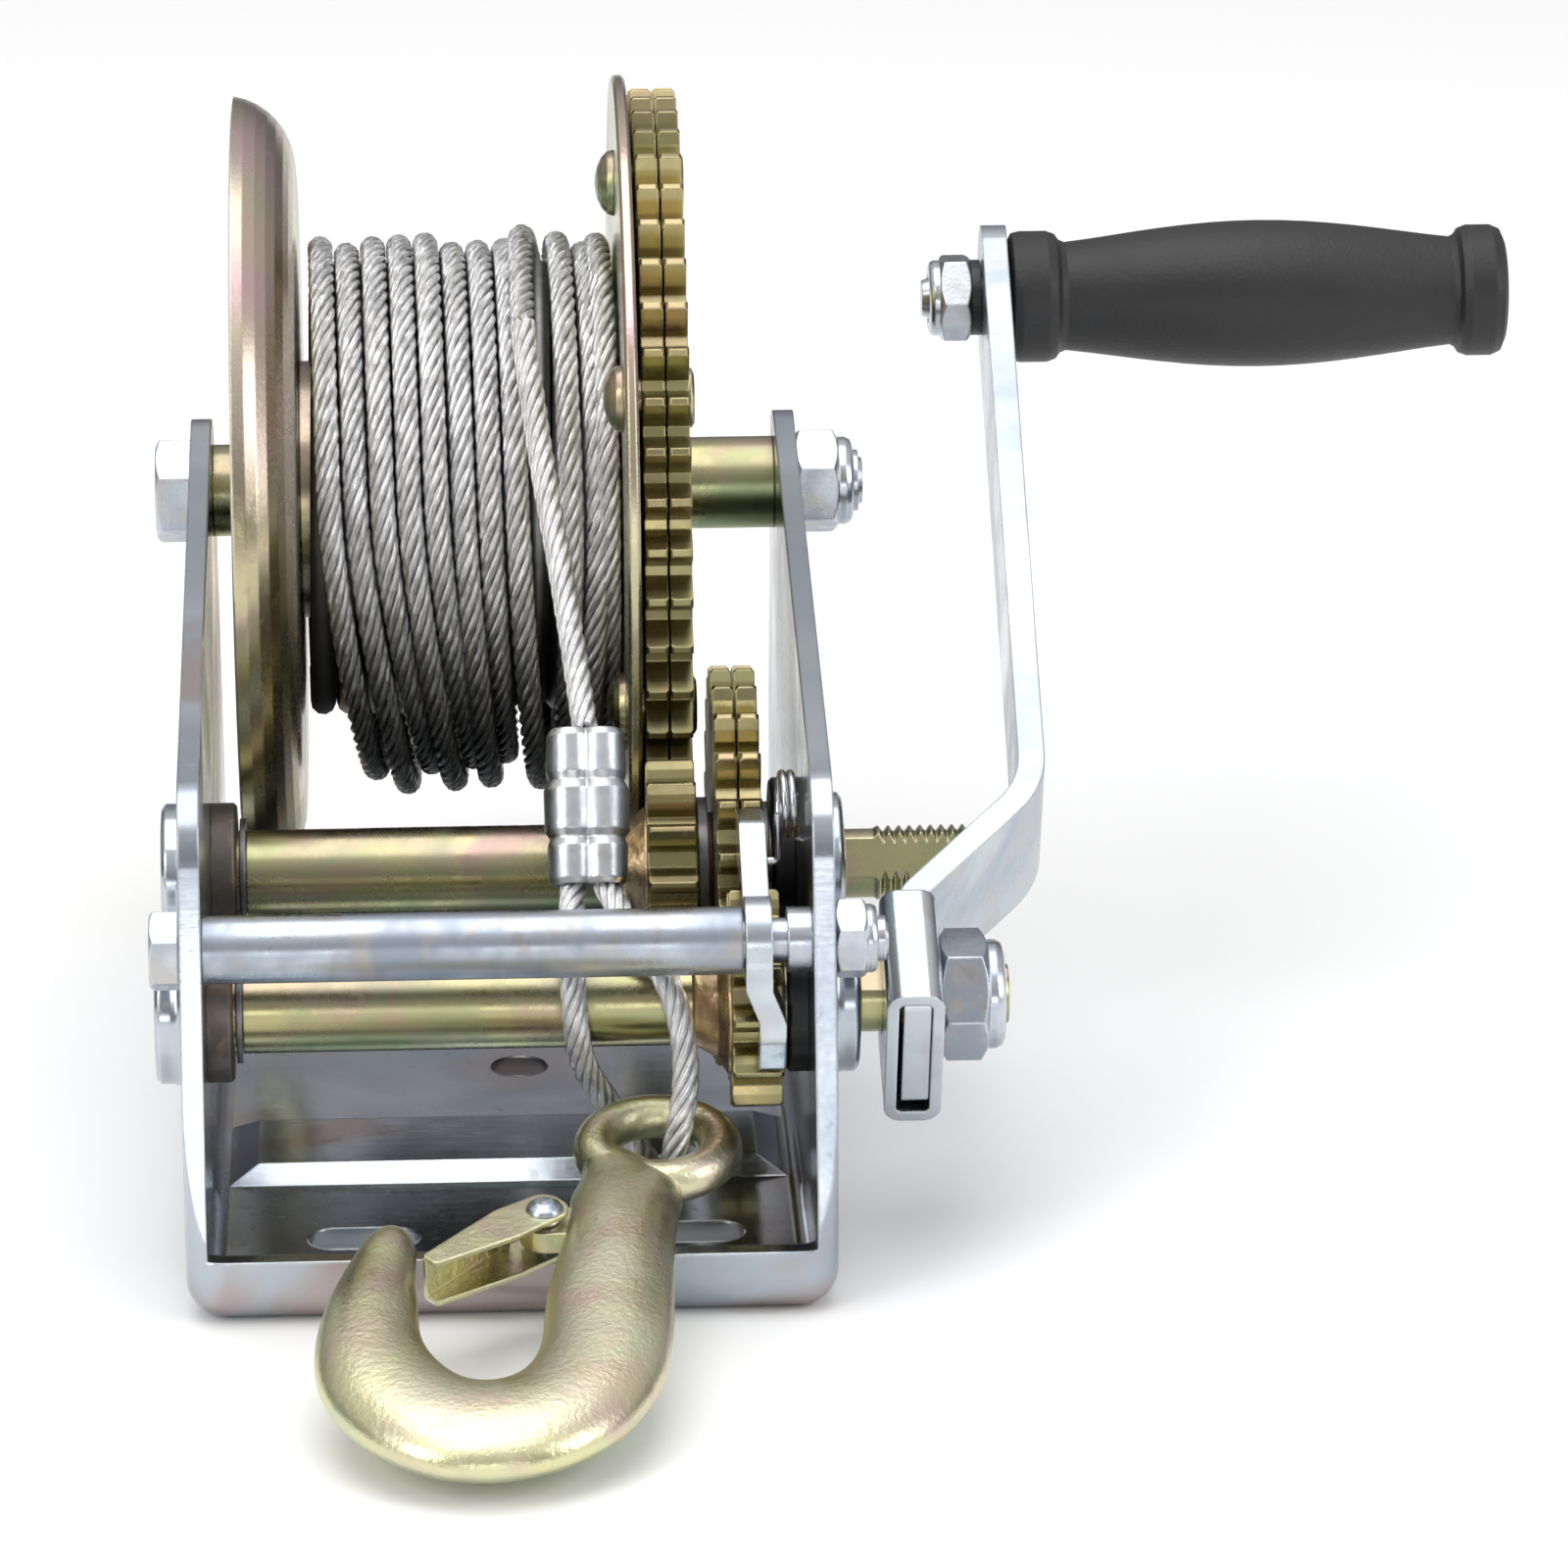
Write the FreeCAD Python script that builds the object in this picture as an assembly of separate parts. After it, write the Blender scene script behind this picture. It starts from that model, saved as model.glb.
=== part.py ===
import FreeCAD, Part
import math
import os

os.makedirs("parts", exist_ok=True)
V = FreeCAD.Vector

# Two-speed hand winch.  Millimetres, +Z up, X runs along the shafts (right is +X), Y runs away
# from the operator's side.  The base stands on z = 0.  Below, y = 0 is the front of its lip and
# x = 0 the middle of the frame; save() moves every piece so that the origin is midway between
# the front slots, on the base's underside.

# ---------------------------------------------------------------- driving dimensions
WIDTH = 117.0            # over the two side plates
SHEET = 4.0              # frame sheet
BASE_LENGTH = 200.0      # base, front to back
LIP_HEIGHT = 12.5
BEND = 7.0               # outer bend radius of the frame
KNEE = (20.0, 91.0)      # y, z where the side plate's front edge turns
AXLE_EDGE = 14.0         # side plate's radius round the drum axle
SLOT_Y, SLOT_SPACING, SLOT_LENGTH, SLOT_WIDTH = 31.5, 59.4, 20.2, 10.4
HOLE_Y, HOLE_D = 117.5, 11.0
BASE_CENTRE = 2.8        # the hole pattern's x
BEAD_Y, BEAD_W, BEAD_H, BEAD_RAMP = 73.0, 30.0, 3.0, 4.0

MODULE = 2.9
DRUM_TEETH, PINION_TEETH, INTER_TEETH = 51, 12, 24
PRESSURE = 25.0
BACKLASH = 0.36          # taken off every tooth's thickness
TIE = (21.3, 64.2)       # y and z of the tie bar, which carries the pawl
FRONT = (TIE[0] + 21.7 / 2.9 * MODULE, TIE[1] - 19.2 / 2.9 * MODULE)
REAR_ANGLE, DRUM_ANGLE = 8.2, 35.4   # centre lines, degrees above +Y

SHAFT_D = 16.6
STUB_D, STUB_PITCH, STUB_FLATS = 14.0, 2.0, 10.6
RUN = 0.05               # radial running clearance
GAP = 0.4                # between neighbours that turn past each other
BUSH_D, BUSH_FLANGE, BUSH_THICK = 22.0, 27.0, 4.8
COLLAR_D, COLLAR_OUT = 27.2, 5.3     # drawn collar round each shaft bore

TIE_D, TIE_BOLT = 12.2, 8.0
AXLE_BOLT, AXLE_TUBE = 12.0, 17.9

FLANGE_R, FLANGE_T = 79.5, 2.5
DISH_R, DISH_DEPTH, DISH_T = 76.5, 13.5, 2.2
FLANGE_X = 24.0          # rope side of the right flange
DISH_X = -37.4           # rope side of the left flange
CORE_D, CORE_T = 50.0, 2.5
PLATE_T = 4.2            # gear lamination
RIVET_R, RIVET_D, RIVETS, RIVET_PHASE = 60.0, 8.0, 6, 147.8
WOUND_R = 51.0           # rope as wound

ROPE_D = 5.0
LEAN = 66.0              # crank arm, degrees back from upright
CRANK = 200.0
ARM_W, ARM_T = 25.0, 5.0
GRIP_L, GRIP_D, GRIP_END, GRIP_NECK = 100.0, 29.5, 26.4, 21.8

HOOK_FOOT = (-88.0, 6.6)             # y, z of the hook's mid plane at its far end
HOOK_TILT = 9.8
HOOK_THICK = 12.0
EYE = (26.5, 109.0)                  # x and distance up the hook plane
EYE_R, EYE_BAR = 11.3, 6.5 - ROPE_D / 2

HALF = WIDTH / 2
INNER = HALF - SHEET
C_FRONT = MODULE * (PINION_TEETH + INTER_TEETH) / 2
C_REAR = MODULE * (PINION_TEETH + DRUM_TEETH) / 2


def polar(centre, length, degrees):
    a = math.radians(degrees)
    return centre[0] + length * math.cos(a), centre[1] + length * math.sin(a)


REAR = polar(FRONT, C_FRONT, REAR_ANGLE)
DRUM = polar(REAR, C_REAR, DRUM_ANGLE)


# ---------------------------------------------------------------- helpers
def save(name, shape):
    shape = shape.removeSplitter() if len(shape.Solids) == 1 else shape
    shape.translate(V(-BASE_CENTRE, -SLOT_Y, 0))
    if not shape.isValid() or shape.Volume <= 0:
        print("BAD", name, shape.isValid(), shape.Volume)
    shape.exportStep("parts/%s.step" % name)
    b = shape.BoundBox
    print("%-26s solids %d vol %9.1f  x %7.2f %7.2f  y %7.2f %7.2f  z %7.2f %7.2f" % (
        name, len(shape.Solids), shape.Volume, b.XMin, b.XMax, b.YMin, b.YMax, b.ZMin, b.ZMax))


def rod(x0, x1, r, yz):
    return Part.makeCylinder(r, x1 - x0, V(x0, yz[0], yz[1]), V(1, 0, 0))


def ring(x0, x1, r_out, r_in, yz):
    return rod(x0, x1, r_out, yz).cut(rod(x0 - 1, x1 + 1, r_in, yz))


def turned(profile, yz):
    """A solid of revolution about the X axis through yz, from (x, r) points."""
    pts = [V(x, r, 0) for x, r in profile]
    face = Part.Face(Part.makePolygon(pts + [pts[0]]))
    shape = face.revolve(V(0, 0, 0), V(1, 0, 0), 360)
    shape.translate(V(0, yz[0], yz[1]))
    return shape


def rounded_wire(points, place):
    """A closed wire of straight runs and corner arcs, from (u, v, radius) points."""
    n, cuts = len(points), []
    for i in range(n):
        u, v, r = points[i]
        p = V(u, v, 0)
        a = V(points[i - 1][0], points[i - 1][1], 0) - p
        b = V(points[(i + 1) % n][0], points[(i + 1) % n][1], 0) - p
        if r <= 0:
            cuts.append((p, p, p))
            continue
        turn = math.pi - a.getAngle(b)
        t = r * math.tan(turn / 2)
        a.normalize()
        b.normalize()
        mid = (a + b).normalize()
        centre = p + mid * (r / math.cos(turn / 2))
        cuts.append((p + a * t, centre - mid * r, p + b * t))
    edges = []
    for i in range(n):
        s, m, e = cuts[i]
        if (s - e).Length > 1e-6:
            edges.append(Part.Arc(place(s), place(m), place(e)).toShape())
        nxt = cuts[(i + 1) % n][0]
        if (nxt - e).Length > 1e-6:
            edges.append(Part.LineSegment(place(e), place(nxt)).toShape())
    return Part.Wire(edges)


def side_plate(points, x0, x1):
    """A prism along X from (y, z, radius) points."""
    face = Part.Face(rounded_wire(points, lambda p: V(x0, p.x, p.y)))
    return face.extrude(V(x1 - x0, 0, 0))


def hexagon(x0, x1, across, yz, bevel, both=False, turn=0.0):
    """A hex head or nut along X with its corners turned off at x1, or at both ends."""
    r = across / math.sqrt(3)
    pts = [V(x0, *polar(yz, r, turn + 60 * k)) for k in range(7)]
    shape = Part.Face(Part.makePolygon(pts)).extrude(V(x1 - x0, 0, 0))
    low, high = (x0, x1) if x0 < x1 else (x1, x0)
    flat = across / 2 * 0.97
    ends = [(low, r + 1), (low, 0), (high, 0), (high, flat), (high - bevel, r + 0.01), (low, r + 1)]
    keep = turned([(low, 0), (low, r + 0.01), (high - bevel, r + 0.01), (high, flat), (high, 0)], yz)
    if x1 < x0:
        keep = turned([(high, 0), (high, r + 0.01), (low + bevel, r + 0.01), (low, flat), (low, 0)], yz)
    if both:
        keep = turned([(low, 0), (low, flat), (low + bevel, r + 0.01), (high - bevel, r + 0.01),
                       (high, flat), (high, 0)], yz)
    return shape.common(keep)


def lock_nut(x0, length, across, bore, yz, turn=0.0):
    """A nut with a rounded locking collar, its seat at x0 and its collar on the +X side."""
    body = hexagon(x0, x0 + length * 0.74, across, yz, across * 0.06, both=True, turn=turn)
    r, x1 = across / 2 * 0.95, x0 + length
    collar = turned([(x0 + length * 0.6, 0), (x0 + length * 0.6, r), (x1 - length * 0.13, r),
                     (x1 - length * 0.04, r - 0.35 * length * 0.13), (x1, r - length * 0.13), (x1, 0)], yz)
    return body.fuse(collar).cut(rod(x0 - 1, x1 + 1, bore / 2, yz))


def involute(angle):
    return math.tan(angle) - angle


def gear(x0, x1, teeth, yz, phase, bore, chamfer=0.0):
    """A spur gear along X with one tooth centred on phase degrees above +Y."""
    pa = math.radians(PRESSURE)
    r = MODULE * teeth / 2
    base, tip, root = r * math.cos(pa), r + MODULE, r - 1.22 * MODULE
    half = (math.pi * MODULE / 2 - BACKLASH) / 2 / r + involute(pa)
    flank = []
    start = max(base, root)
    if root < base:
        flank.append((root, half))
    for k in range(4):
        q = start + (tip - start) * k / 3
        flank.append((q, half - involute(math.acos(min(1.0, base / q)))))
    pts = []
    for t in range(teeth):
        mid = math.radians(phase) + 2 * math.pi * t / teeth
        for q, a in flank:
            pts.append((q, mid - a))
        for q, a in reversed(flank):
            pts.append((q, mid + a))
    path = [V(x0, yz[0] + q * math.cos(a), yz[1] + q * math.sin(a)) for q, a in pts]
    body = Part.Face(Part.makePolygon(path + [path[0]])).extrude(V(x1 - x0, 0, 0))
    if chamfer:
        body = body.common(turned([(x0, 0), (x0, tip - chamfer), (x0 + chamfer, tip), (x1 - chamfer, tip),
                                   (x1, tip - chamfer), (x1, 0)], yz))
    return body.cut(rod(x0 - 1, x1 + 1, bore / 2, yz))


def threaded(x0, x1, d, pitch, smooth, yz):
    """A stub with a plain neck to smooth and turned thread ridges to x1."""
    r, deep = d / 2, 0.55 * pitch
    pts = [(x0, 0), (x0, r - deep * 0.45), (smooth, r - deep * 0.45)]
    x = smooth
    while x + pitch < x1 - 1.2:
        pts += [(x + pitch * 0.42, r), (x + pitch * 0.58, r), (x + pitch, r - deep)]
        x += pitch
    pts += [(x + 0.4, r - deep), (x1, r - deep - 0.6), (x1, 0)]
    return turned(pts, yz)


def double_d(x0, x1, d, flats, yz, lean, slack=0.0):
    """A round bar with two flats whose normals lie lean degrees above +Y."""
    h = flats / 2 + slack
    box = Part.makeBox(x1 - x0, 2 * h, d + 2, V(x0, -h, -d / 2 - 1))
    box.rotate(V(0, 0, 0), V(1, 0, 0), lean)
    box.translate(V(0, yz[0], yz[1]))
    return rod(x0, x1, d / 2 + slack, yz).common(box)


def soft_path(points):
    """Straight runs joined by tangent arcs, as edges, with the arc radii."""
    edges, radii, last = [], [], V(*points[0])
    for i in range(1, len(points) - 1):
        p = V(*points[i])
        a, b = V(*points[i - 1]) - p, V(*points[i + 1]) - p
        shorter = min(a.Length, b.Length)
        turn = math.pi - a.getAngle(b)
        t = 0.45 * shorter
        r = t / math.tan(turn / 2)
        radii.append(round(r, 1))
        a.normalize()
        b.normalize()
        mid = (a + b).normalize()
        centre = p + mid * (r / math.cos(turn / 2))
        s, m, e = p + a * t, centre - mid * r, p + b * t
        edges.append(Part.LineSegment(last, s).toShape())
        edges.append(Part.Arc(s, m, e).toShape())
        last = e
    edges.append(Part.LineSegment(last, V(*points[-1])).toShape())
    return edges, radii


def swept(points, d, name=""):
    """A round bar of diameter d along the path."""
    edges, radii = soft_path(points)
    path = Part.Wire(edges)
    start, along = V(*points[0]), V(*points[1]) - V(*points[0])
    section = Part.Wire([Part.Circle(start, along, d / 2).toShape()])
    shape = path.makePipeShell([section], True, False)
    want = math.pi * d * d / 4 * path.Length
    print("%-26s path %.1f volume %.1f of %.1f radii %s" % (name, path.Length, shape.Volume, want, radii))
    return shape


# ---------------------------------------------------------------- frame
def tangent_apex(p, q, centre, r):
    """Where the outer tangents from p and from q to the circle meet."""
    lines = []
    for point, side in ((p, 1), (q, -1)):
        dy, dz = centre[0] - point[0], centre[1] - point[1]
        a = math.degrees(math.atan2(dz, dy)) + side * math.degrees(math.asin(r / math.hypot(dy, dz)))
        lines.append((point, math.cos(math.radians(a)), math.sin(math.radians(a))))
    (a, ay, az), (b, by, bz) = lines
    t = ((b[0] - a[0]) * bz - (b[1] - a[1]) * by) / (ay * bz - az * by)
    return a[0] + t * ay, a[1] + t * az


def cup(size_x, y0, y1, top, low, r):
    """A block open to the back and top, with rounded lower and front edges."""
    block = Part.makeBox(2 * size_x, y1 - y0, top - low, V(-size_x, y0, low))
    picked = []
    for e in block.Edges:
        c = e.CenterOfMass
        below, front = abs(c.z - low) < 1e-6, abs(c.y - y0) < 1e-6
        side = abs(abs(c.x) - size_x) < 1e-6
        if (below and side) or (below and front) or (front and side):
            picked.append(e)
    return block.makeFillet(r, picked)


apex = tangent_apex(KNEE, (BASE_LENGTH, 0), DRUM, AXLE_EDGE)
outline = [(0, -1, 0), (0, LIP_HEIGHT, 0), (KNEE[0], KNEE[1], 16), (apex[0], apex[1], AXLE_EDGE),
           (BASE_LENGTH, 0, 6), (BASE_LENGTH - 8, -1, 0)]
top = DRUM[1] + AXLE_EDGE + 5
shell = cup(HALF, 0, BASE_LENGTH, top, 0, BEND).cut(
    cup(INNER, SHEET, BASE_LENGTH + 5, top + 5, SHEET, BEND - SHEET))
frame = shell.common(side_plate(outline, -HALF, HALF))
frame = frame.cut(Part.makeBox(2 * INNER, 40, top, V(-INNER, -1, LIP_HEIGHT)))
low = SHEET - 0.01


def bead(height, grow):
    """A ridge across the base with four sloped sides."""
    w, h, run = BEAD_W / 2, height, BEAD_RAMP
    across = [(BEAD_Y - w, 0, 0), (BEAD_Y - w + run, h, 0), (BEAD_Y + w - run, h, 0), (BEAD_Y + w, 0, 0)]
    prism = side_plate(across, -INNER, INNER)
    ends = INNER - 2.5
    pts = [V(-ends, 0, 0), V(-ends + run * 1.4, 0, h), V(ends - run * 1.4, 0, h), V(ends, 0, 0)]
    other = Part.Face(Part.makePolygon(pts + [pts[0]])).extrude(V(0, 300, 0))
    shape = prism.common(other)
    shape.translate(V(0, 0, grow))
    return shape


frame = frame.fuse(bead(BEAD_H, SHEET)).cut(bead(BEAD_H, 0))
for side in (-1, 1):
    slot = Part.makeBox(SLOT_LENGTH - SLOT_WIDTH, SLOT_WIDTH, 20, V(
        BASE_CENTRE + side * SLOT_SPACING / 2 - (SLOT_LENGTH - SLOT_WIDTH) / 2, SLOT_Y - SLOT_WIDTH / 2, -5))
    for end in (-1, 1):
        slot = slot.fuse(Part.makeCylinder(SLOT_WIDTH / 2, 20, V(
            BASE_CENTRE + side * SLOT_SPACING / 2 + end * (SLOT_LENGTH - SLOT_WIDTH) / 2, SLOT_Y, -5)))
    frame = frame.cut(slot)
frame = frame.cut(Part.makeCylinder(HOLE_D / 2, 20, V(BASE_CENTRE, HOLE_Y, -5)))
for yz in (FRONT, REAR):
    for side in (-1, 1):
        flare, r = 2.4, COLLAR_D / 2
        pts = [(HALF - 1, 0), (HALF - 1, r + flare), (HALF, r + flare)]
        pts += [(HALF + flare * (1 - math.cos(math.radians(a))), r + flare * (1 - math.sin(math.radians(a))))
                for a in (30, 60, 90)]
        pts += [(HALF + COLLAR_OUT - 0.8, r), (HALF + COLLAR_OUT, r - 0.8), (HALF + COLLAR_OUT, 0)]
        collar = turned([(side * x, q) for x, q in pts], yz)
        frame = frame.fuse(collar)
        frame = frame.cut(rod(*sorted((side * (INNER - 1), side * (HALF + COLLAR_OUT + 1))),
                              BUSH_D / 2 + RUN, yz))
frame = frame.cut(rod(-HALF - 2, HALF + 2, TIE_BOLT / 2 + 0.15, TIE))
frame = frame.cut(rod(-HALF - 2, HALF + 2, AXLE_BOLT / 2 + 0.15, DRUM))

SPRING_AT, SPRING_DROP = (50.0, 80.0), 9.0
SPRING_WIRE, SPRING_R, SPRING_TURNS, SPRING_PITCH = 1.4, 5.6, 2.5, 1.5
SPRING_X = INNER - 0.55 - SPRING_TURNS * SPRING_PITCH - SPRING_WIRE / 2
leg_hole = (SPRING_AT[0] + SPRING_R, SPRING_AT[1] - SPRING_DROP)
frame = frame.cut(rod(INNER - 1, HALF + 1, SPRING_WIRE / 2 + 0.25, leg_hole))
save("frame", frame)

# ---------------------------------------------------------------- bushings
for name, yz, side, flange, thick in (
        ("bushing_front_left", FRONT, -1, BUSH_FLANGE, BUSH_THICK),
        ("bushing_rear_left", REAR, -1, BUSH_FLANGE, BUSH_THICK),
        ("bushing_front_right", FRONT, 1, BUSH_FLANGE, BUSH_THICK - 1.0),
        ("bushing_rear_right", REAR, 1, BUSH_FLANGE + 6.0, BUSH_THICK - 0.6)):
    pts = [(INNER - thick, SHAFT_D / 2 + RUN), (INNER - thick, flange / 2 - 0.6),
           (INNER - thick + 0.6, flange / 2),
           (INNER - 0.03, flange / 2), (INNER - 0.03, BUSH_D / 2), (HALF + COLLAR_OUT - 0.3, BUSH_D / 2),
           (HALF + COLLAR_OUT - 0.3, SHAFT_D / 2 + RUN)]
    save(name, turned([(side * x, r) for x, r in pts], yz))

# ---------------------------------------------------------------- shafts
SHAFT_LEFT, SHOULDER = -HALF - COLLAR_OUT + 0.8, HALF + COLLAR_OUT + 0.4
REAR_END, FRONT_END = HALF + 34.5, HALF + 32.9
GROOVE_X, GROOVE_W = -INNER + BUSH_THICK + 0.5, 1.2
for name, yz, end, lean in (("rear_shaft", REAR, REAR_END, 150.0),
                            ("front_shaft", FRONT, FRONT_END, LEAN + 48.0)):
    bar = turned([(SHAFT_LEFT, 0), (SHAFT_LEFT, SHAFT_D / 2 - 0.8), (SHAFT_LEFT + 0.8, SHAFT_D / 2),
                  (GROOVE_X, SHAFT_D / 2), (GROOVE_X, SHAFT_D / 2 - 1.0),
                  (GROOVE_X + GROOVE_W, SHAFT_D / 2 - 1.0),
                  (GROOVE_X + GROOVE_W, SHAFT_D / 2), (SHOULDER, SHAFT_D / 2), (SHOULDER, 0)], yz)
    stub = threaded(SHOULDER - 1, end, STUB_D, STUB_PITCH, SHOULDER + 5.5, yz)
    stub = stub.common(double_d(SHOULDER - 2, end + 1, STUB_D + 1, STUB_FLATS, yz, lean))
    save(name, bar.fuse(stub))
    clip = ring(GROOVE_X + 0.05, GROOVE_X + GROOVE_W - 0.05, SHAFT_D / 2 + 2.2, SHAFT_D / 2 - 0.95, yz)
    mouth = Part.makeBox(4, SHAFT_D - 4.0, SHAFT_D, V(GROOVE_X - 1, -(SHAFT_D - 4.0) / 2, -SHAFT_D))
    mouth.translate(V(0, yz[0], yz[1]))
    save(name.replace("shaft", "retaining_ring"), clip.cut(mouth))

# ---------------------------------------------------------------- gears
GEAR_IN = FLANGE_X + FLANGE_T + 0.9
GEAR_OUT = GEAR_IN + PLATE_T + GAP
tooth_at = 180 + DRUM_ANGLE
RIVET_SPOTS = [polar(DRUM, RIVET_R, RIVET_PHASE + 360.0 / RIVETS * k) for k in range(RIVETS)]
HUB_D = 24.0             # bushing seat in the drum's plates


def drilled(shape, spots, r, x0, x1):
    for spot in spots:
        shape = shape.cut(rod(x0, x1, r, spot))
    return shape


for name, x0 in (("drum_gear_inner", GEAR_IN), ("drum_gear_outer", GEAR_OUT)):
    plate = gear(x0, x0 + PLATE_T, DRUM_TEETH, DRUM, tooth_at, HUB_D + 2 * RUN, 0.5)
    save(name, drilled(plate, RIVET_SPOTS, RIVET_D / 2 + RUN, x0 - 1, x0 + PLATE_T + 1))

PINION_W = 9.2
REAR_PINION_X = FLANGE_X + FLANGE_T + GAP + 0.1
save("rear_pinion", gear(REAR_PINION_X, REAR_PINION_X + PINION_W, PINION_TEETH, REAR,
                         DRUM_ANGLE + 180.0 / PINION_TEETH, SHAFT_D + 2 * RUN, 0.5))
braze_r = SHAFT_D / 2 + RUN
braze_room = C_REAR - FLANGE_R - GAP - braze_r
save("rear_pinion_braze", turned([(REAR_PINION_X - 5.4, braze_r), (REAR_PINION_X - 4.0, braze_r + 0.5),
                                  (REAR_PINION_X - 1.8, braze_r + 1.9),
                                  (REAR_PINION_X - 0.05, braze_r + braze_room),
                                  (REAR_PINION_X - 0.05, braze_r)], REAR))
washer_x = REAR_PINION_X + PINION_W + 0.3
WASHER_T, INTER_GAP = 2.0, 0.4
save("rear_washer", ring(washer_x, washer_x + WASHER_T, 13.0, braze_r, REAR))
save("rear_spacer", ring(washer_x + WASHER_T + 0.05, washer_x + WASHER_T + 0.75, 10.2, braze_r, REAR))
INTER_IN = washer_x + WASHER_T + 0.8
INTER_T = 4.0
INTER_OUT = INTER_IN + INTER_T + INTER_GAP
for name, x0 in (("intermediate_gear_inner", INTER_IN), ("intermediate_gear_outer", INTER_OUT)):
    save(name, gear(x0, x0 + INTER_T, INTER_TEETH, REAR, 180 + REAR_ANGLE, SHAFT_D + 2 * RUN, 0.6))
inter_end = INTER_OUT + INTER_T
bush_face = INNER - BUSH_THICK + 0.6
save("rear_collar", ring(inter_end + 0.05, bush_face - GAP, 12.0, braze_r, REAR))

mid_front = (INTER_IN + inter_end) / 2
FRONT_W = 9.2
FRONT_PINION_X = mid_front - FRONT_W / 2 + 1.6
save("front_pinion", gear(FRONT_PINION_X, FRONT_PINION_X + FRONT_W, PINION_TEETH, FRONT,
                          REAR_ANGLE + 180.0 / PINION_TEETH, SHAFT_D + 2 * RUN, 0.5))
front_room = min(5.6, C_FRONT - MODULE * (INTER_TEETH / 2 + 1) - GAP - braze_r)
save("front_pinion_braze", turned([(FRONT_PINION_X - 7.0, braze_r), (FRONT_PINION_X - 5.4, braze_r + 0.6),
                                   (FRONT_PINION_X - 2.4, braze_r + 0.43 * front_room),
                                   (FRONT_PINION_X - 0.6, braze_r + 0.93 * front_room),
                                   (FRONT_PINION_X - 0.05, braze_r + front_room),
                                   (FRONT_PINION_X - 0.05, braze_r)],
                                  FRONT))
save("front_collar", ring(FRONT_PINION_X + FRONT_W + 0.05, INNER - BUSH_THICK + 1.0 - GAP, 10.6, braze_r,
                          FRONT))

# ---------------------------------------------------------------- drum
flange = turned([(FLANGE_X, HUB_D / 2 + RUN), (FLANGE_X, FLANGE_R - 0.6), (FLANGE_X + 0.6, FLANGE_R),
                 (FLANGE_X + FLANGE_T - 0.6, FLANGE_R), (FLANGE_X + FLANGE_T, FLANGE_R - 0.6),
                 (FLANGE_X + FLANGE_T, HUB_D / 2 + RUN)], DRUM)
save("drum_flange_right", drilled(flange, RIVET_SPOTS, RIVET_D / 2 + RUN, FLANGE_X - 1,
                                  FLANGE_X + FLANGE_T + 1))

flat_r = DISH_R - 14.5
inner_side, outer_side = [], []
for k in range(9):
    a = math.radians(82.0 * k / 8)
    dx, dr = DISH_DEPTH * (1 - math.cos(a)), (DISH_R - flat_r) * math.sin(a)
    nx, nr = math.cos(a) * (DISH_R - flat_r), math.sin(a) * DISH_DEPTH
    size = math.hypot(nx, nr)
    inner_side.append((DISH_X - dx, flat_r + dr))
    outer_side.append((DISH_X - dx - DISH_T * nx / size, flat_r + dr - DISH_T * nr / size))
pts = [(DISH_X, HUB_D / 2 + RUN)] + inner_side + outer_side[::-1] + [(DISH_X - DISH_T, HUB_D / 2 + RUN)]
dish = turned(pts, DRUM)
clamp_spot = polar(DRUM, 36.0, 100)
dish = dish.cut(rod(DISH_X - DISH_T - 1, DISH_X + 1, 2.6, clamp_spot))
save("drum_flange_left", dish)
core_x0, core_x1 = DISH_X + 0.05, FLANGE_X - 0.05
save("drum_core", ring(core_x0, core_x1, CORE_D / 2, CORE_D / 2 - CORE_T, DRUM))
bush_in = AXLE_TUBE / 2 + RUN
save("drum_bushing_left", turned([(DISH_X - DISH_T - 2.0, bush_in), (DISH_X - DISH_T - 2.0, 15.0),
                                  (DISH_X - DISH_T - 0.05, 15.0), (DISH_X - DISH_T - 0.05, HUB_D / 2),
                                  (DISH_X + 12, HUB_D / 2), (DISH_X + 12, bush_in)], DRUM))
gear_end = GEAR_OUT + PLATE_T
save("drum_bushing_right", ring(FLANGE_X - 12, gear_end + 0.7, HUB_D / 2, bush_in, DRUM))

rivets = []
for y, z in RIVET_SPOTS:
    r, head = RIVET_D / 2, RIVET_D * 0.8
    dome = [(FLANGE_X - 0.05, head)] + [(FLANGE_X - 0.05 - 3.6 * math.sin(math.radians(a)),
                                         head * math.cos(math.radians(a))) for a in (20, 40, 60, 75)]
    dome += [(FLANGE_X - 0.05 - 3.6, 0), (gear_end + 1.2, 0), (gear_end + 1.2, r + 0.8),
             (gear_end + 0.7, r + 1.6),
             (gear_end + 0.05, r + 1.7), (gear_end + 0.05, r), (FLANGE_X - 0.05, r)]
    rivets.append(turned(dome, (y, z)))
save("drum_rivets", Part.makeCompound(rivets))

AXLE_SEAT = HALF + 0.1
save("axle_tube", ring(-INNER + 0.06, INNER - 0.06, AXLE_TUBE / 2, AXLE_BOLT / 2 + 0.25, DRUM))
axle_end = AXLE_SEAT + 13.2
bolt = hexagon(-AXLE_SEAT, -AXLE_SEAT - 7.0, 18.0, DRUM, 0.9, turn=30).fuse(
    rod(-AXLE_SEAT - 0.5, axle_end - 0.8, AXLE_BOLT / 2, DRUM))
save("axle_bolt", bolt.fuse(threaded(AXLE_SEAT + 9.0, axle_end, AXLE_BOLT, 1.75, AXLE_SEAT + 9.2, DRUM)))
save("axle_nut", lock_nut(AXLE_SEAT, 11.4, 18.0, AXLE_BOLT + 0.1, DRUM, 30))

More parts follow.
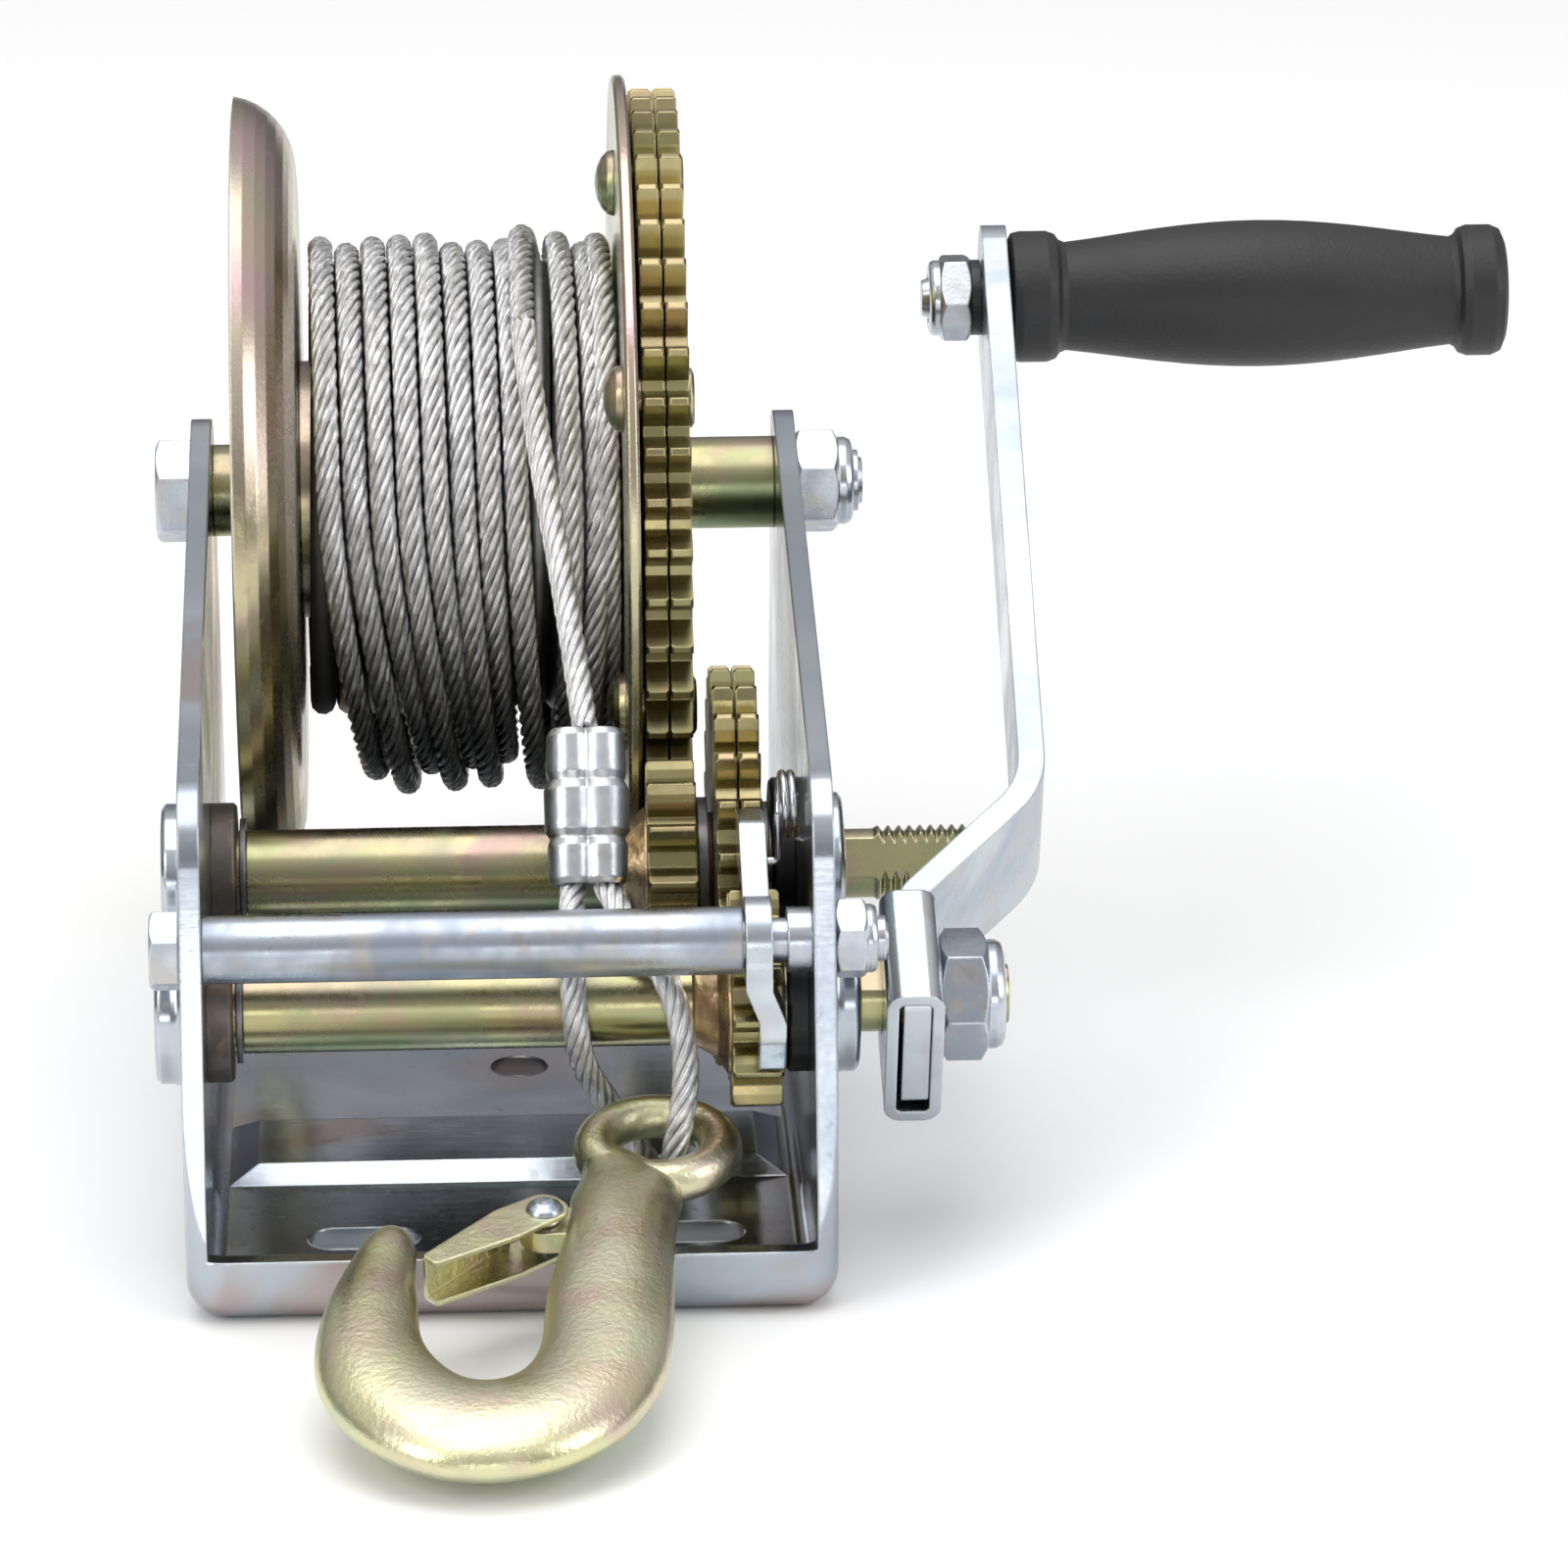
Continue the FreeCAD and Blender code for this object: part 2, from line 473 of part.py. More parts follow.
clamp = Part.makeBox(5.0, 13, 13, V(DISH_X - DISH_T - 5.05, clamp_spot[0] - 6.5, clamp_spot[1] - 6.5))
clamp = clamp.makeFillet(1.2, [e for e in clamp.Edges if abs(e.tangentAt(e.FirstParameter).x) > 0.9])
save("rope_clamp", clamp.cut(rod(-70, DISH_X, 2.1, clamp_spot)))
save("rope_clamp_screw", hexagon(DISH_X - DISH_T - 5.1, DISH_X - DISH_T - 8.3, 7.0, clamp_spot, 0.4).fuse(
    rod(DISH_X - DISH_T - 6, DISH_X - 0.5, 2.0, clamp_spot)))

# ---------------------------------------------------------------- tie bar and pawl
PAWL_X, PAWL_T, PAWL_SHIFT = 42.4, 4.8, 2.4
tie_bore = TIE_BOLT / 2 + 0.2
save("tie_tube", ring(-INNER + 0.05, PAWL_X - GAP, TIE_D / 2, tie_bore, TIE))
save("tie_sleeve", ring(PAWL_X + PAWL_T + PAWL_SHIFT + GAP, INNER - 0.05, TIE_D / 2 - 0.2, tie_bore, TIE))
tie_seat = HALF + 0.1
tie_end = tie_seat + 9.6
bolt = hexagon(-tie_seat, -tie_seat - 5.3, 13.0, TIE, 0.7, turn=30).fuse(
    rod(-tie_seat - 0.5, tie_end - 0.5, TIE_BOLT / 2, TIE))
save("tie_bolt", bolt.fuse(threaded(tie_seat + 6.4, tie_end, TIE_BOLT, 1.25, tie_seat + 6.5, TIE)))
save("tie_nut", lock_nut(tie_seat, 7.6, 13.0, TIE_BOLT + 0.1, TIE, 30))

arms = [(5.5, 5.5, 2), (14, 9.4, 8), (23, 14.6, 3), (39.0, 11.6, 1.2), (38.0, 6.4, 0.8), (31, 3.2, 3),
        (20.0, 4.4, 16), (9.5, 5.6, 3), (7.0, -2.5, 0), (2.6, -9.0, 6), (1.8, -15, 5), (0.4, -22.0, 0.8),
        (-3.6, -24.0, 1.2), (-8.6, -16, 4), (-8.0, -3, 5), (-6.5, 5.5, 5)]
profile = side_plate([(TIE[0] + y, TIE[1] + z, r) for y, z, r in arms], PAWL_X - 1, PAWL_X + 12)
profile = profile.fuse(rod(PAWL_X - 1, PAWL_X + 12, 7.9, TIE))
z1, z2 = TIE[1] - 7.0, TIE[1] - 13.0
strip = [(PAWL_X, TIE[1] + 30), (PAWL_X + PAWL_T, TIE[1] + 30), (PAWL_X + PAWL_T, z1),
         (PAWL_X + PAWL_T + PAWL_SHIFT, z2), (PAWL_X + PAWL_T + PAWL_SHIFT, TIE[1] - 40),
         (PAWL_X + PAWL_SHIFT, TIE[1] - 40), (PAWL_X + PAWL_SHIFT, z2), (PAWL_X, z1)]
pts = [V(x, -5, z) for x, z in strip]
band = Part.Face(Part.makePolygon(pts + [pts[0]])).extrude(V(0, 120, 0))
pawl = profile.common(band).cut(rod(PAWL_X - 5, PAWL_X + 20, TIE_BOLT / 2 + 0.08, TIE))
save("pawl", pawl)

# torsion spring of the pawl: turns round X, one leg by the pawl and one in the plate
helix = Part.makeHelix(SPRING_PITCH, SPRING_PITCH * SPRING_TURNS, SPRING_R)
helix.rotate(V(0, 0, 0), V(0, 1, 0), 90)
helix.rotate(V(0, 0, 0), V(1, 0, 0), -90)
helix.translate(V(SPRING_X, SPRING_AT[0], SPRING_AT[1]))
edge = helix.Edges[0]
start, along = edge.valueAt(edge.FirstParameter), edge.tangentAt(edge.FirstParameter)
section = Part.Wire([Part.Circle(start, along, SPRING_WIRE / 2).toShape()])
coil = helix.makePipeShell([section], True, True)
x_end, leg_z = SPRING_X + SPRING_PITCH * SPRING_TURNS, SPRING_AT[1] - SPRING_DROP
y_left, y_right = SPRING_AT[0] - SPRING_R, SPRING_AT[0] + SPRING_R
leg_a = swept([(PAWL_X + PAWL_T + GAP, y_left, leg_z), (SPRING_X, y_left, leg_z),
               (SPRING_X, y_left, SPRING_AT[1])], SPRING_WIRE, "leg")
leg_b = swept([(HALF - 1.0, y_right, leg_z), (x_end, y_right, leg_z), (x_end, y_right, SPRING_AT[1])],
              SPRING_WIRE, "leg")
save("pawl_spring", coil.fuse(leg_a).fuse(leg_b))


# ---------------------------------------------------------------- crank
DRAWN_HALF = 58.5        # half the frame's width that the crank's X sizes below are drawn for


def on_crank(shape):
    """From the arm's own axes (X, along the arm, across it) to the winch's."""
    shape.rotate(V(0, 0, 0), V(1, 0, 0), 90 - LEAN)
    shape.translate(V(HALF - DRAWN_HALF, FRONT[0], FRONT[1]))
    return shape


def strip(line, t):
    """A bent strip t thick about a line of (x, s, radius), as a closed point list."""
    sides = []
    for sign in (1, -1):
        side = []
        for i, (x, q, r) in enumerate(line):
            before, after = line[max(i - 1, 0)], line[min(i + 1, len(line) - 1)]
            a = V(x - before[0], q - before[1], 0) if i else V(after[0] - x, after[1] - q, 0)
            b = V(after[0] - x, after[1] - q, 0) if i < len(line) - 1 else a
            a, b = V(a).normalize(), V(b).normalize()
            turn = a.x * b.y - a.y * b.x
            mid = (a + b).normalize()
            reach = t / 2 / mid.dot(a)
            side.append((x - sign * mid.y * reach, q + sign * mid.x * reach,
                         max(r - t / 2 if turn * sign > 0 else r + t / 2, 0) if r else 0))
        sides.append(side)
    return sides[0] + sides[1][::-1]


def flat_face(points, z0, z1):
    """A prism along the local third axis from (x, s, radius) points."""
    face = Part.Face(rounded_wire(points, lambda p: V(p.x, p.y, z0)))
    return face.extrude(V(0, 0, z1 - z0))


SLEEVE_X0, SLEEVE_X1, SLEEVE_WALL = 68.2, 78.7, 2.2
SLEEVE_N0, SLEEVE_N1, SLEEVE_S0, SLEEVE_S1 = -16.4, 15.2, -16.0, 12.0
ARM_X = SLEEVE_X1 - SLEEVE_WALL - ARM_T / 2 - 0.15
ARM_LINE = [(ARM_X, -15.5, 0), (ARM_X, 13.5, 9), (98.6, 43.0, 22), (101.9, CRANK + 15, 0)]


def sleeve_block(grow, s0, s1, r):
    pts = [(SLEEVE_X0 + grow, SLEEVE_N0 + grow, r), (SLEEVE_X1 - grow, SLEEVE_N0 + grow, r),
           (SLEEVE_X1 - grow, SLEEVE_N1 - grow, r), (SLEEVE_X0 + grow, SLEEVE_N1 - grow, r)]
    face = Part.Face(rounded_wire(pts, lambda p: V(p.x, s0, p.y)))
    return face.extrude(V(0, s1 - s0, 0))


stub_hole = double_d(60, 100, STUB_D, STUB_FLATS, (0, 0), 90, 0.1)
sleeve = sleeve_block(0, SLEEVE_S0, SLEEVE_S1, 3.4).cut(
    sleeve_block(SLEEVE_WALL, SLEEVE_S0 - 1, SLEEVE_S1 + 1, 1.2)).cut(stub_hole)
save("crank_bracket", on_crank(sleeve))
arm = flat_face(strip(ARM_LINE, ARM_T), -ARM_W / 2, ARM_W / 2)
outline = [(-15.5, -ARM_W / 2, 1.5), (CRANK + 15, -ARM_W / 2, 11.5), (CRANK + 15, ARM_W / 2, 11.5),
           (-15.5, ARM_W / 2, 1.5)]
arm = arm.common(side_plate(outline, 60, 120)).cut(stub_hole).cut(rod(90, 120, 5.15, (CRANK, 0)))
save("crank_arm", on_crank(arm))
crank_nut = lock_nut(SLEEVE_X1 + 0.1, 11.8, 21.0, STUB_D + 0.1, (0, 0), 30 + 12)
save("crank_nut", on_crank(crank_nut))

GRIP_AT = (CRANK, 0.0)
arm_top = 101.65
grip_x0 = arm_top + ARM_T / 2 + 0.5
grip_x1 = grip_x0 + GRIP_L
profile = [(grip_x0, 5.15), (grip_x0, GRIP_END / 2 - 1.6), (grip_x0 + 0.6, GRIP_END / 2 - 0.4),
           (grip_x0 + 2.2, GRIP_END / 2), (grip_x0 + 7.6, GRIP_END / 2), (grip_x0 + 9.3, GRIP_END / 2 - 0.6),
           (grip_x0 + 10.2, GRIP_NECK / 2 + 0.5), (grip_x0 + 11.4, GRIP_NECK / 2)]
for k in range(1, 16):
    q = k / 16
    bulge = math.sin(math.pi * q) ** 1.15
    profile.append((grip_x0 + 11.4 + q * (GRIP_L - 22.2), GRIP_NECK / 2 + bulge * (GRIP_D - GRIP_NECK) / 2))
profile += [(grip_x1 - 10.8, GRIP_NECK / 2), (grip_x1 - 9.8, GRIP_NECK / 2 + 0.5),
            (grip_x1 - 9.0, GRIP_END / 2 - 0.6),
            (grip_x1 - 7.4, GRIP_END / 2), (grip_x1 - 2.6, GRIP_END / 2),
            (grip_x1 - 0.8, GRIP_END / 2 - 0.8),
            (grip_x1, GRIP_END / 2 - 2.6), (grip_x1, 9.2), (grip_x1 - 8, 9.2), (grip_x1 - 8, 5.15)]
save("grip", on_crank(turned(profile, GRIP_AT)))
nut_seat = arm_top - ARM_T / 2 - 2.3
bolt = hexagon(grip_x1 - 7.6, grip_x1 - 1.6, 14.6, GRIP_AT, 0.6).fuse(
    rod(nut_seat - 7, grip_x1 - 7, 5.0, GRIP_AT))
tail = threaded(-nut_seat + 6.0, -nut_seat + 9.8, 10.0, 1.5, -nut_seat + 6.2, (0, 0))
tail.rotate(V(0, 0, 0), V(0, 0, 1), 180)
tail.translate(V(0, GRIP_AT[0], GRIP_AT[1]))
save("grip_bolt", on_crank(bolt.fuse(tail)))
save("grip_washer", on_crank(ring(nut_seat + 0.05, nut_seat + 2.0, 7.6, 5.15, GRIP_AT)))
nut = lock_nut(-nut_seat, 8.4, 16.0, 10.1, (0, 0), 30)
nut.rotate(V(0, 0, 0), V(0, 0, 1), 180)
nut.translate(V(0, GRIP_AT[0], GRIP_AT[1]))
save("grip_nut", on_crank(nut))

# ---------------------------------------------------------------- rope
wound_x0, wound_x1 = DISH_X + 0.5, FLANGE_X - 0.5
wound = [(wound_x0, CORE_D / 2 + 0.05), (wound_x0, WOUND_R - 4), (wound_x0 + 3, WOUND_R - 1),
         (wound_x0 + 14, WOUND_R), (wound_x1 - 22, WOUND_R - 0.6), (wound_x1 - 4, WOUND_R - 1),
         (wound_x1, WOUND_R - 4), (wound_x1, CORE_D / 2 + 0.05)]
save("rope_winding", turned(wound, DRUM))

FERRULE_TOP, FERRULE_FOOT, FERRULE_X, BARREL = (64.4, 90.0), (50.3, 64.8), 15.2, 2.8
ferrule_l = math.hypot(FERRULE_TOP[0] - FERRULE_FOOT[0], FERRULE_TOP[1] - FERRULE_FOOT[1])
lift = math.degrees(math.atan2(FERRULE_TOP[1] - FERRULE_FOOT[1], FERRULE_TOP[0] - FERRULE_FOOT[0]))
swage = [(0, 0), (0, 3.7), (1.0, 4.4), (7.0, 4.6), (8.6, 4.1), (10.0, 5.0), (17.6, 5.1), (19.2, 4.2),
         (20.8, 4.6), (ferrule_l - 1.2, 4.4), (ferrule_l, 3.6), (ferrule_l, 0)]
barrels = None
for off in (-BARREL, BARREL):
    one = turned(swage, (0, 0))
    one.rotate(V(0, 0, 0), V(0, 0, 1), 90)
    one.translate(V(FERRULE_X + off, 0, 0))
    barrels = one if barrels is None else barrels.fuse(one)
barrels.rotate(V(0, 0, 0), V(1, 0, 0), lift)
barrels.translate(V(0, FERRULE_FOOT[0], FERRULE_FOOT[1]))
save("ferrule", barrels)

clear = WOUND_R + ROPE_D / 2 + 0.4
back = (FERRULE_TOP[0] - DRUM[0], FERRULE_TOP[1] - DRUM[1])
leave = math.degrees(math.atan2(back[1], back[0])) % 360 - math.degrees(math.acos(clear / math.hypot(*back)))
LEAVE = polar(DRUM, clear, leave)
TAIL = [(5.6, LEAVE[0], LEAVE[1]), (8.2, 113.0, 127.9), (12.4, 88.6, 108.2), (FERRULE_X, *FERRULE_TOP)]
save("rope_tail", swept(TAIL, ROPE_D, "rope_tail"))
LOOP = [(18.2, 50.3, 64.8), (22.0, 40.4, 60.4), (28.6, 32.6, 54.0), (31.6, 28.4, 44.6), (32.0, 24.2, 35.4),
        (30.2, 20.9, 27.0), (28.6, 22.0, 18.6), (26.8, 29.8, 14.9), (23.0, 37.8, 19.4), (17.2, 38.6, 28.2),
        (13.2, 33.2, 36.6), (12.0, 29.6, 45.6), (11.8, 32.4, 54.0), (11.6, 40.2, 60.4), (12.4, 50.3, 64.8)]
save("rope_loop", swept(LOOP, ROPE_D, "rope_loop"))


# ---------------------------------------------------------------- hook
def on_hook(shape):
    """From the hook's own plane (X, up the hook, thickness) to the winch's axes."""
    shape.rotate(V(0, 0, 0), V(1, 0, 0), HOOK_TILT)
    shape.translate(V(0, HOOK_FOOT[0], HOOK_FOOT[1]))
    return shape


def oval(centre, across, wide, thick):
    pts = [centre + across * (wide / 2 * math.cos(math.radians(a)))
           + V(0, 0, thick / 2 * math.sin(math.radians(a))) for a in range(0, 360, 20)]
    curve = Part.BSplineCurve()
    curve.interpolate(pts, PeriodicFlag=True)
    return Part.Wire([curve.toShape()])


STATIONS = [(-21.2, 81.8, 3.0, 3.0), (-21.4, 79.6, 7.0, 6.4), (-22.4, 74.0, 10.6, 8.8),
            (-24.4, 62.0, 14.4, 10.6),
            (-25.6, 49.0, 17.8, 11.8), (-24.2, 36.0, 21.4, 12.0), (-18.2, 24.5, 24.2, 12.0),
            (-7.4, 18.2, 26.4, 12.0), (5.2, 22.0, 25.0, 12.0), (12.8, 32.6, 23.4, 12.0),
            (15.8, 46.0, 22.8, 12.0),
            (16.6, 58.0, 22.4, 12.0), (17.8, 70.0, 20.8, 12.0), (19.2, 82.0, 19.6, 11.4),
            (20.4, 91.5, 20.0, 10.0), (19.2, 99.5, 14.6, 8.4), (16.6, 105.0, 8.4, 7.4),
            (15.4, 108.4, 6.4, 6.4)]
wires = []
for i, (x, d, wide, thick) in enumerate(STATIONS):
    a, b = STATIONS[max(i - 1, 0)], STATIONS[min(i + 1, len(STATIONS) - 1)]
    along = V(b[0] - a[0], b[1] - a[1], 0).normalize()
    wires.append(oval(V(x, d, 0), V(along.y, -along.x, 0), wide, thick))
hook = Part.makeLoft(wires, True, False)
eye = Part.makeTorus(EYE_R, EYE_BAR)
eye.translate(V(EYE[0], EYE[1], 0))
PIVOT = (5.6, 82.0)
LUG_T = 4.0
lug = Part.makeCylinder(4.4, LUG_T, V(PIVOT[0], PIVOT[1], -LUG_T / 2)).fuse(
    Part.makeBox(9, 8.8, LUG_T, V(PIVOT[0], PIVOT[1] - 4.4, -LUG_T / 2)))
hook = hook.fuse(eye).fuse(lug).cut(Part.makeCylinder(1.55, 40, V(PIVOT[0], PIVOT[1], -20)))
save("hook", on_hook(hook))

LATCH_END, LATCH_GAP, LATCH_T = (-14.8, 66.0), 3.6, 0.9
reach = math.hypot(LATCH_END[0] - PIVOT[0], LATCH_END[1] - PIVOT[1])
swing = math.degrees(math.atan2(LATCH_END[1] - PIVOT[1], LATCH_END[0] - PIVOT[0]))
cheek = [(-4.2, -3.4, 3.2), (-4.2, 4.6, 3.6), (7.0, 5.4, 3), (reach, 2.0, 0.6), (reach, -1.6, 0.8),
         (9.0, -3.9, 3)]
latch = flat_face(cheek, LATCH_GAP, LATCH_GAP + LATCH_T).fuse(
    flat_face(cheek, -LATCH_GAP - LATCH_T, -LATCH_GAP))
web = [(4.5, 5.22, 0), (7.0, 5.4, 0), (reach, 2.0, 0), (reach, 2.0 - LATCH_T, 0), (7.0, 5.4 - LATCH_T, 0),
       (4.5, 5.22 - LATCH_T, 0)]
latch = latch.fuse(flat_face(web, -LATCH_GAP - 0.2, LATCH_GAP + 0.2))
latch = latch.cut(Part.makeCylinder(1.55, 40, V(0, 0, -20)))
# local b axis points away from the throat
latch = latch.mirror(V(0, 0, 0), V(0, 1, 0))
latch.rotate(V(0, 0, 0), V(0, 0, 1), swing)
latch.translate(V(PIVOT[0], PIVOT[1], 0))
save("latch", on_hook(latch))
edge_z = LATCH_GAP + LATCH_T + 0.05
dome = [(-edge_z - 1.7, 0), (-edge_z - 1.5, 1.6), (-edge_z - 0.8, 2.9), (-edge_z, 3.4), (-edge_z, 1.5),
        (edge_z, 1.5), (edge_z, 3.4), (edge_z + 0.8, 2.9), (edge_z + 1.5, 1.6), (edge_z + 1.7, 0)]
pin = turned(dome, (0, 0))
pin.rotate(V(0, 0, 0), V(0, 1, 0), -90)
pin.translate(V(PIVOT[0], PIVOT[1], 0))
save("latch_rivet", on_hook(pin))
wire = 0.8
spring = Part.makeTorus(2.4, wire / 2)
spring.translate(V(0, 0, LUG_T / 2 + wire / 2 + 0.2))
leg = Part.makeCylinder(wire / 2, 9, V(0, -2.4, LUG_T / 2 + wire / 2 + 0.2), V(1, 0.1, 0))
spring = spring.fuse(leg)
spring.rotate(V(0, 0, 0), V(0, 0, 1), swing)
spring.translate(V(PIVOT[0], PIVOT[1], 0))
save("latch_spring", on_hook(spring))
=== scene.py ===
from math import ceil, cos, pi, radians, sin

import bmesh
import bpy
from mathutils import Matrix, Vector


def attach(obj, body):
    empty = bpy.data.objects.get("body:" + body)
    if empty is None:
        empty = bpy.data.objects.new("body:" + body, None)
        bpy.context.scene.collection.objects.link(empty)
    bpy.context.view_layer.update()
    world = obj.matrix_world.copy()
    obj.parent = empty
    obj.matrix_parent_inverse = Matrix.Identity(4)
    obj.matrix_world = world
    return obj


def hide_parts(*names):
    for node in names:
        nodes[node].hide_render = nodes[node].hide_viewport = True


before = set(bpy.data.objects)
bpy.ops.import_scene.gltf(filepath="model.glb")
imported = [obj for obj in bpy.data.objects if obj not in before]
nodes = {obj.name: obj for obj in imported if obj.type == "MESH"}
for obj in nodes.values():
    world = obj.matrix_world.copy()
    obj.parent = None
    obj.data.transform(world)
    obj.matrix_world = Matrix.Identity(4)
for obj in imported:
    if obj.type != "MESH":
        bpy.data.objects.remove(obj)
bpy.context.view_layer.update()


# Places are in the winch's drawing, in millimetres. Sizes that go to Blender are in metres.
BASE_CENTRE, SLOT_Y = 2.8, 31.5         # x and y of the point midway between the front slots
DRUM_Y, DRUM_Z = 169.128, 105.363       # the drum's axle
ROPE = 0.005                            # the rope's diameter
STRANDS = 6
STRAND_R, STRAND_OUT = 0.00081, 0.00169  # a strand's radius, and how far it lies from the rope's middle
LAY = 0.0225                            # the length in which a strand goes once round the rope


def at(x, y, z):
    """A place in the winch's drawing as a point in metres from the front slots."""
    return Vector(((x - BASE_CENTRE) / 1000, (y - SLOT_Y) / 1000, z / 1000))


# ---------------------------------------------------------------- camera, floor and light
def set_up_camera():
    """A long lens a little above the winch and in front of it, turned a few degrees."""
    yaw, pitch, roll = radians(2.68), radians(18.94), radians(-0.16)
    ahead = Vector((sin(yaw) * cos(pitch), cos(yaw) * cos(pitch), -sin(pitch)))
    level = Vector((cos(yaw), -sin(yaw), 0))
    above = level.cross(ahead)
    across = cos(roll) * level + sin(roll) * above
    over = cos(roll) * above - sin(roll) * level
    stand = Matrix((across, over, -ahead)).transposed().to_4x4()
    stand.translation = at(-12.1, -1296.6, 546.4)
    lens = bpy.data.cameras.new("bench_camera")
    lens.lens, lens.sensor_width = 180, 36
    lens.clip_start, lens.clip_end = 0.05, 20
    camera = bpy.data.objects.new("bench_camera", lens)
    camera.matrix_world = stand
    bpy.context.scene.collection.objects.link(camera)
    bpy.context.scene.camera = camera


def softbox(name, place, aim, size, watts, tint=(1, 1, 1)):
    """A rectangular soft light at a place, turned to its aim."""
    light = bpy.data.lights.new(name, "AREA")
    light.shape, light.size, light.size_y = "RECTANGLE", size[0], size[1]
    light.energy, light.color = watts, tint
    box = bpy.data.objects.new(name, light)
    box.location = place
    box.rotation_euler = (Vector(aim) - Vector(place)).to_track_quat("-Z", "Y").to_euler()
    bpy.context.scene.collection.objects.link(box)


def set_up_studio():
    """A pale paper floor, a pale surround that is darker below, and four soft lights."""
    sheet = bmesh.new()
    bmesh.ops.create_grid(sheet, x_segments=1, y_segments=1, size=4.0)
    mesh = bpy.data.meshes.new("paper_floor")
    sheet.to_mesh(mesh)
    sheet.free()
    floor = bpy.data.objects.new("paper_floor", mesh)
    bpy.context.scene.collection.objects.link(floor)
    paper = bpy.data.materials.new("white_paper")
    paper.use_nodes = True
    shader = paper.node_tree.nodes["Principled BSDF"]
    shader.inputs["Base Color"].default_value = (0.9, 0.9, 0.9, 1)
    shader.inputs["Roughness"].default_value = 0.9
    shader.inputs["Specular IOR Level"].default_value = 0.1
    mesh.materials.append(paper)

    world = bpy.data.worlds.new("studio")
    world.use_nodes = True
    tree = world.node_tree
    tree.nodes.clear()
    where = tree.nodes.new("ShaderNodeTexCoord")
    split = tree.nodes.new("ShaderNodeSeparateXYZ")
    ramp = tree.nodes.new("ShaderNodeValToRGB")
    sky = tree.nodes.new("ShaderNodeBackground")
    out = tree.nodes.new("ShaderNodeOutputWorld")
    tree.links.new(where.outputs["Generated"], split.inputs[0])
    tree.links.new(split.outputs["Z"], ramp.inputs[0])
    tree.links.new(ramp.outputs[0], sky.inputs["Color"])
    tree.links.new(sky.outputs[0], out.inputs["Surface"])
    ramp.color_ramp.elements[0].position = 0.0
    ramp.color_ramp.elements[0].color = (0.16, 0.16, 0.17, 1)
    ramp.color_ramp.elements[1].position = 0.75
    ramp.color_ramp.elements[1].color = (1.0, 1.0, 1.0, 1)
    low = ramp.color_ramp.elements.new(0.22)
    low.color = (0.34, 0.34, 0.36, 1)
    sky.inputs["Strength"].default_value = 0.8
    bpy.context.scene.world = world

    middle = (0, 0.1, 0.08)
    softbox("overhead", (-0.1, 0.1, 1.5), middle, (1.6, 1.2), 13)
    softbox("left_front", (-1.3, -1.0, 0.9), middle, (0.7, 1.3), 12, (1.0, 0.99, 0.97))
    softbox("right_front", (1.4, -0.7, 0.8), middle, (0.6, 1.2), 9, (0.97, 0.99, 1.0))
    softbox("front_strip", (0.1, -1.7, 0.25), middle, (1.2, 0.25), 3)
    bpy.context.scene.view_settings.view_transform = "Standard"


# ---------------------------------------------------------------- shader groups
def group_tree(name, inputs, outputs):
    """A shader node group with named sockets, its input and output nodes, and a way to add nodes."""
    tree = bpy.data.node_groups.new(name, "ShaderNodeTree")
    for label, kind, value in inputs:
        socket = tree.interface.new_socket(label, in_out="INPUT", socket_type=kind)
        socket.default_value = value
    for label, kind in outputs:
        tree.interface.new_socket(label, in_out="OUTPUT", socket_type=kind)
    return tree, tree.nodes.new("NodeGroupInput"), tree.nodes.new("NodeGroupOutput")


def put(tree, kind, settings=None, **sockets):
    """A node with its settings, and each socket given a value or linked. A socket named _2 is input 2."""
    node = tree.nodes.new(kind)
    for key, value in (settings or {}).items():
        setattr(node, key, value)
    for key, value in sockets.items():
        socket = node.inputs[int(key[1:])] if key[0] == "_" else node.inputs[key.replace("_", " ")]
        if isinstance(value, bpy.types.NodeSocket):
            tree.links.new(value, socket)
        else:
            socket.default_value = value
    return node


def maths(tree, operation, a, b=0.0, clamp=False):
    """The result of an arithmetic node."""
    return put(tree, "ShaderNodeMath", {"operation": operation, "use_clamp": clamp}, _0=a, _1=b).outputs[0]


def spread(tree, value, low, high, to_low=0.0, to_high=1.0):
    """The value from low to high, spread smoothly over another range."""
    return put(tree, "ShaderNodeMapRange", {"interpolation_type": "SMOOTHSTEP"}, Value=value, From_Min=low,
               From_Max=high, To_Min=to_low, To_Max=to_high).outputs[0]


def blend(tree, share, a, b):
    """Colour a turning into colour b as share goes from 0 to 1."""
    mix = tree.nodes.new("ShaderNodeMix")
    mix.data_type = "RGBA"
    for socket, value in ((mix.inputs[0], share), (mix.inputs[6], a), (mix.inputs[7], b)):
        if isinstance(value, bpy.types.NodeSocket):
            tree.links.new(value, socket)
        else:
            socket.default_value = value
    return mix.outputs[2]


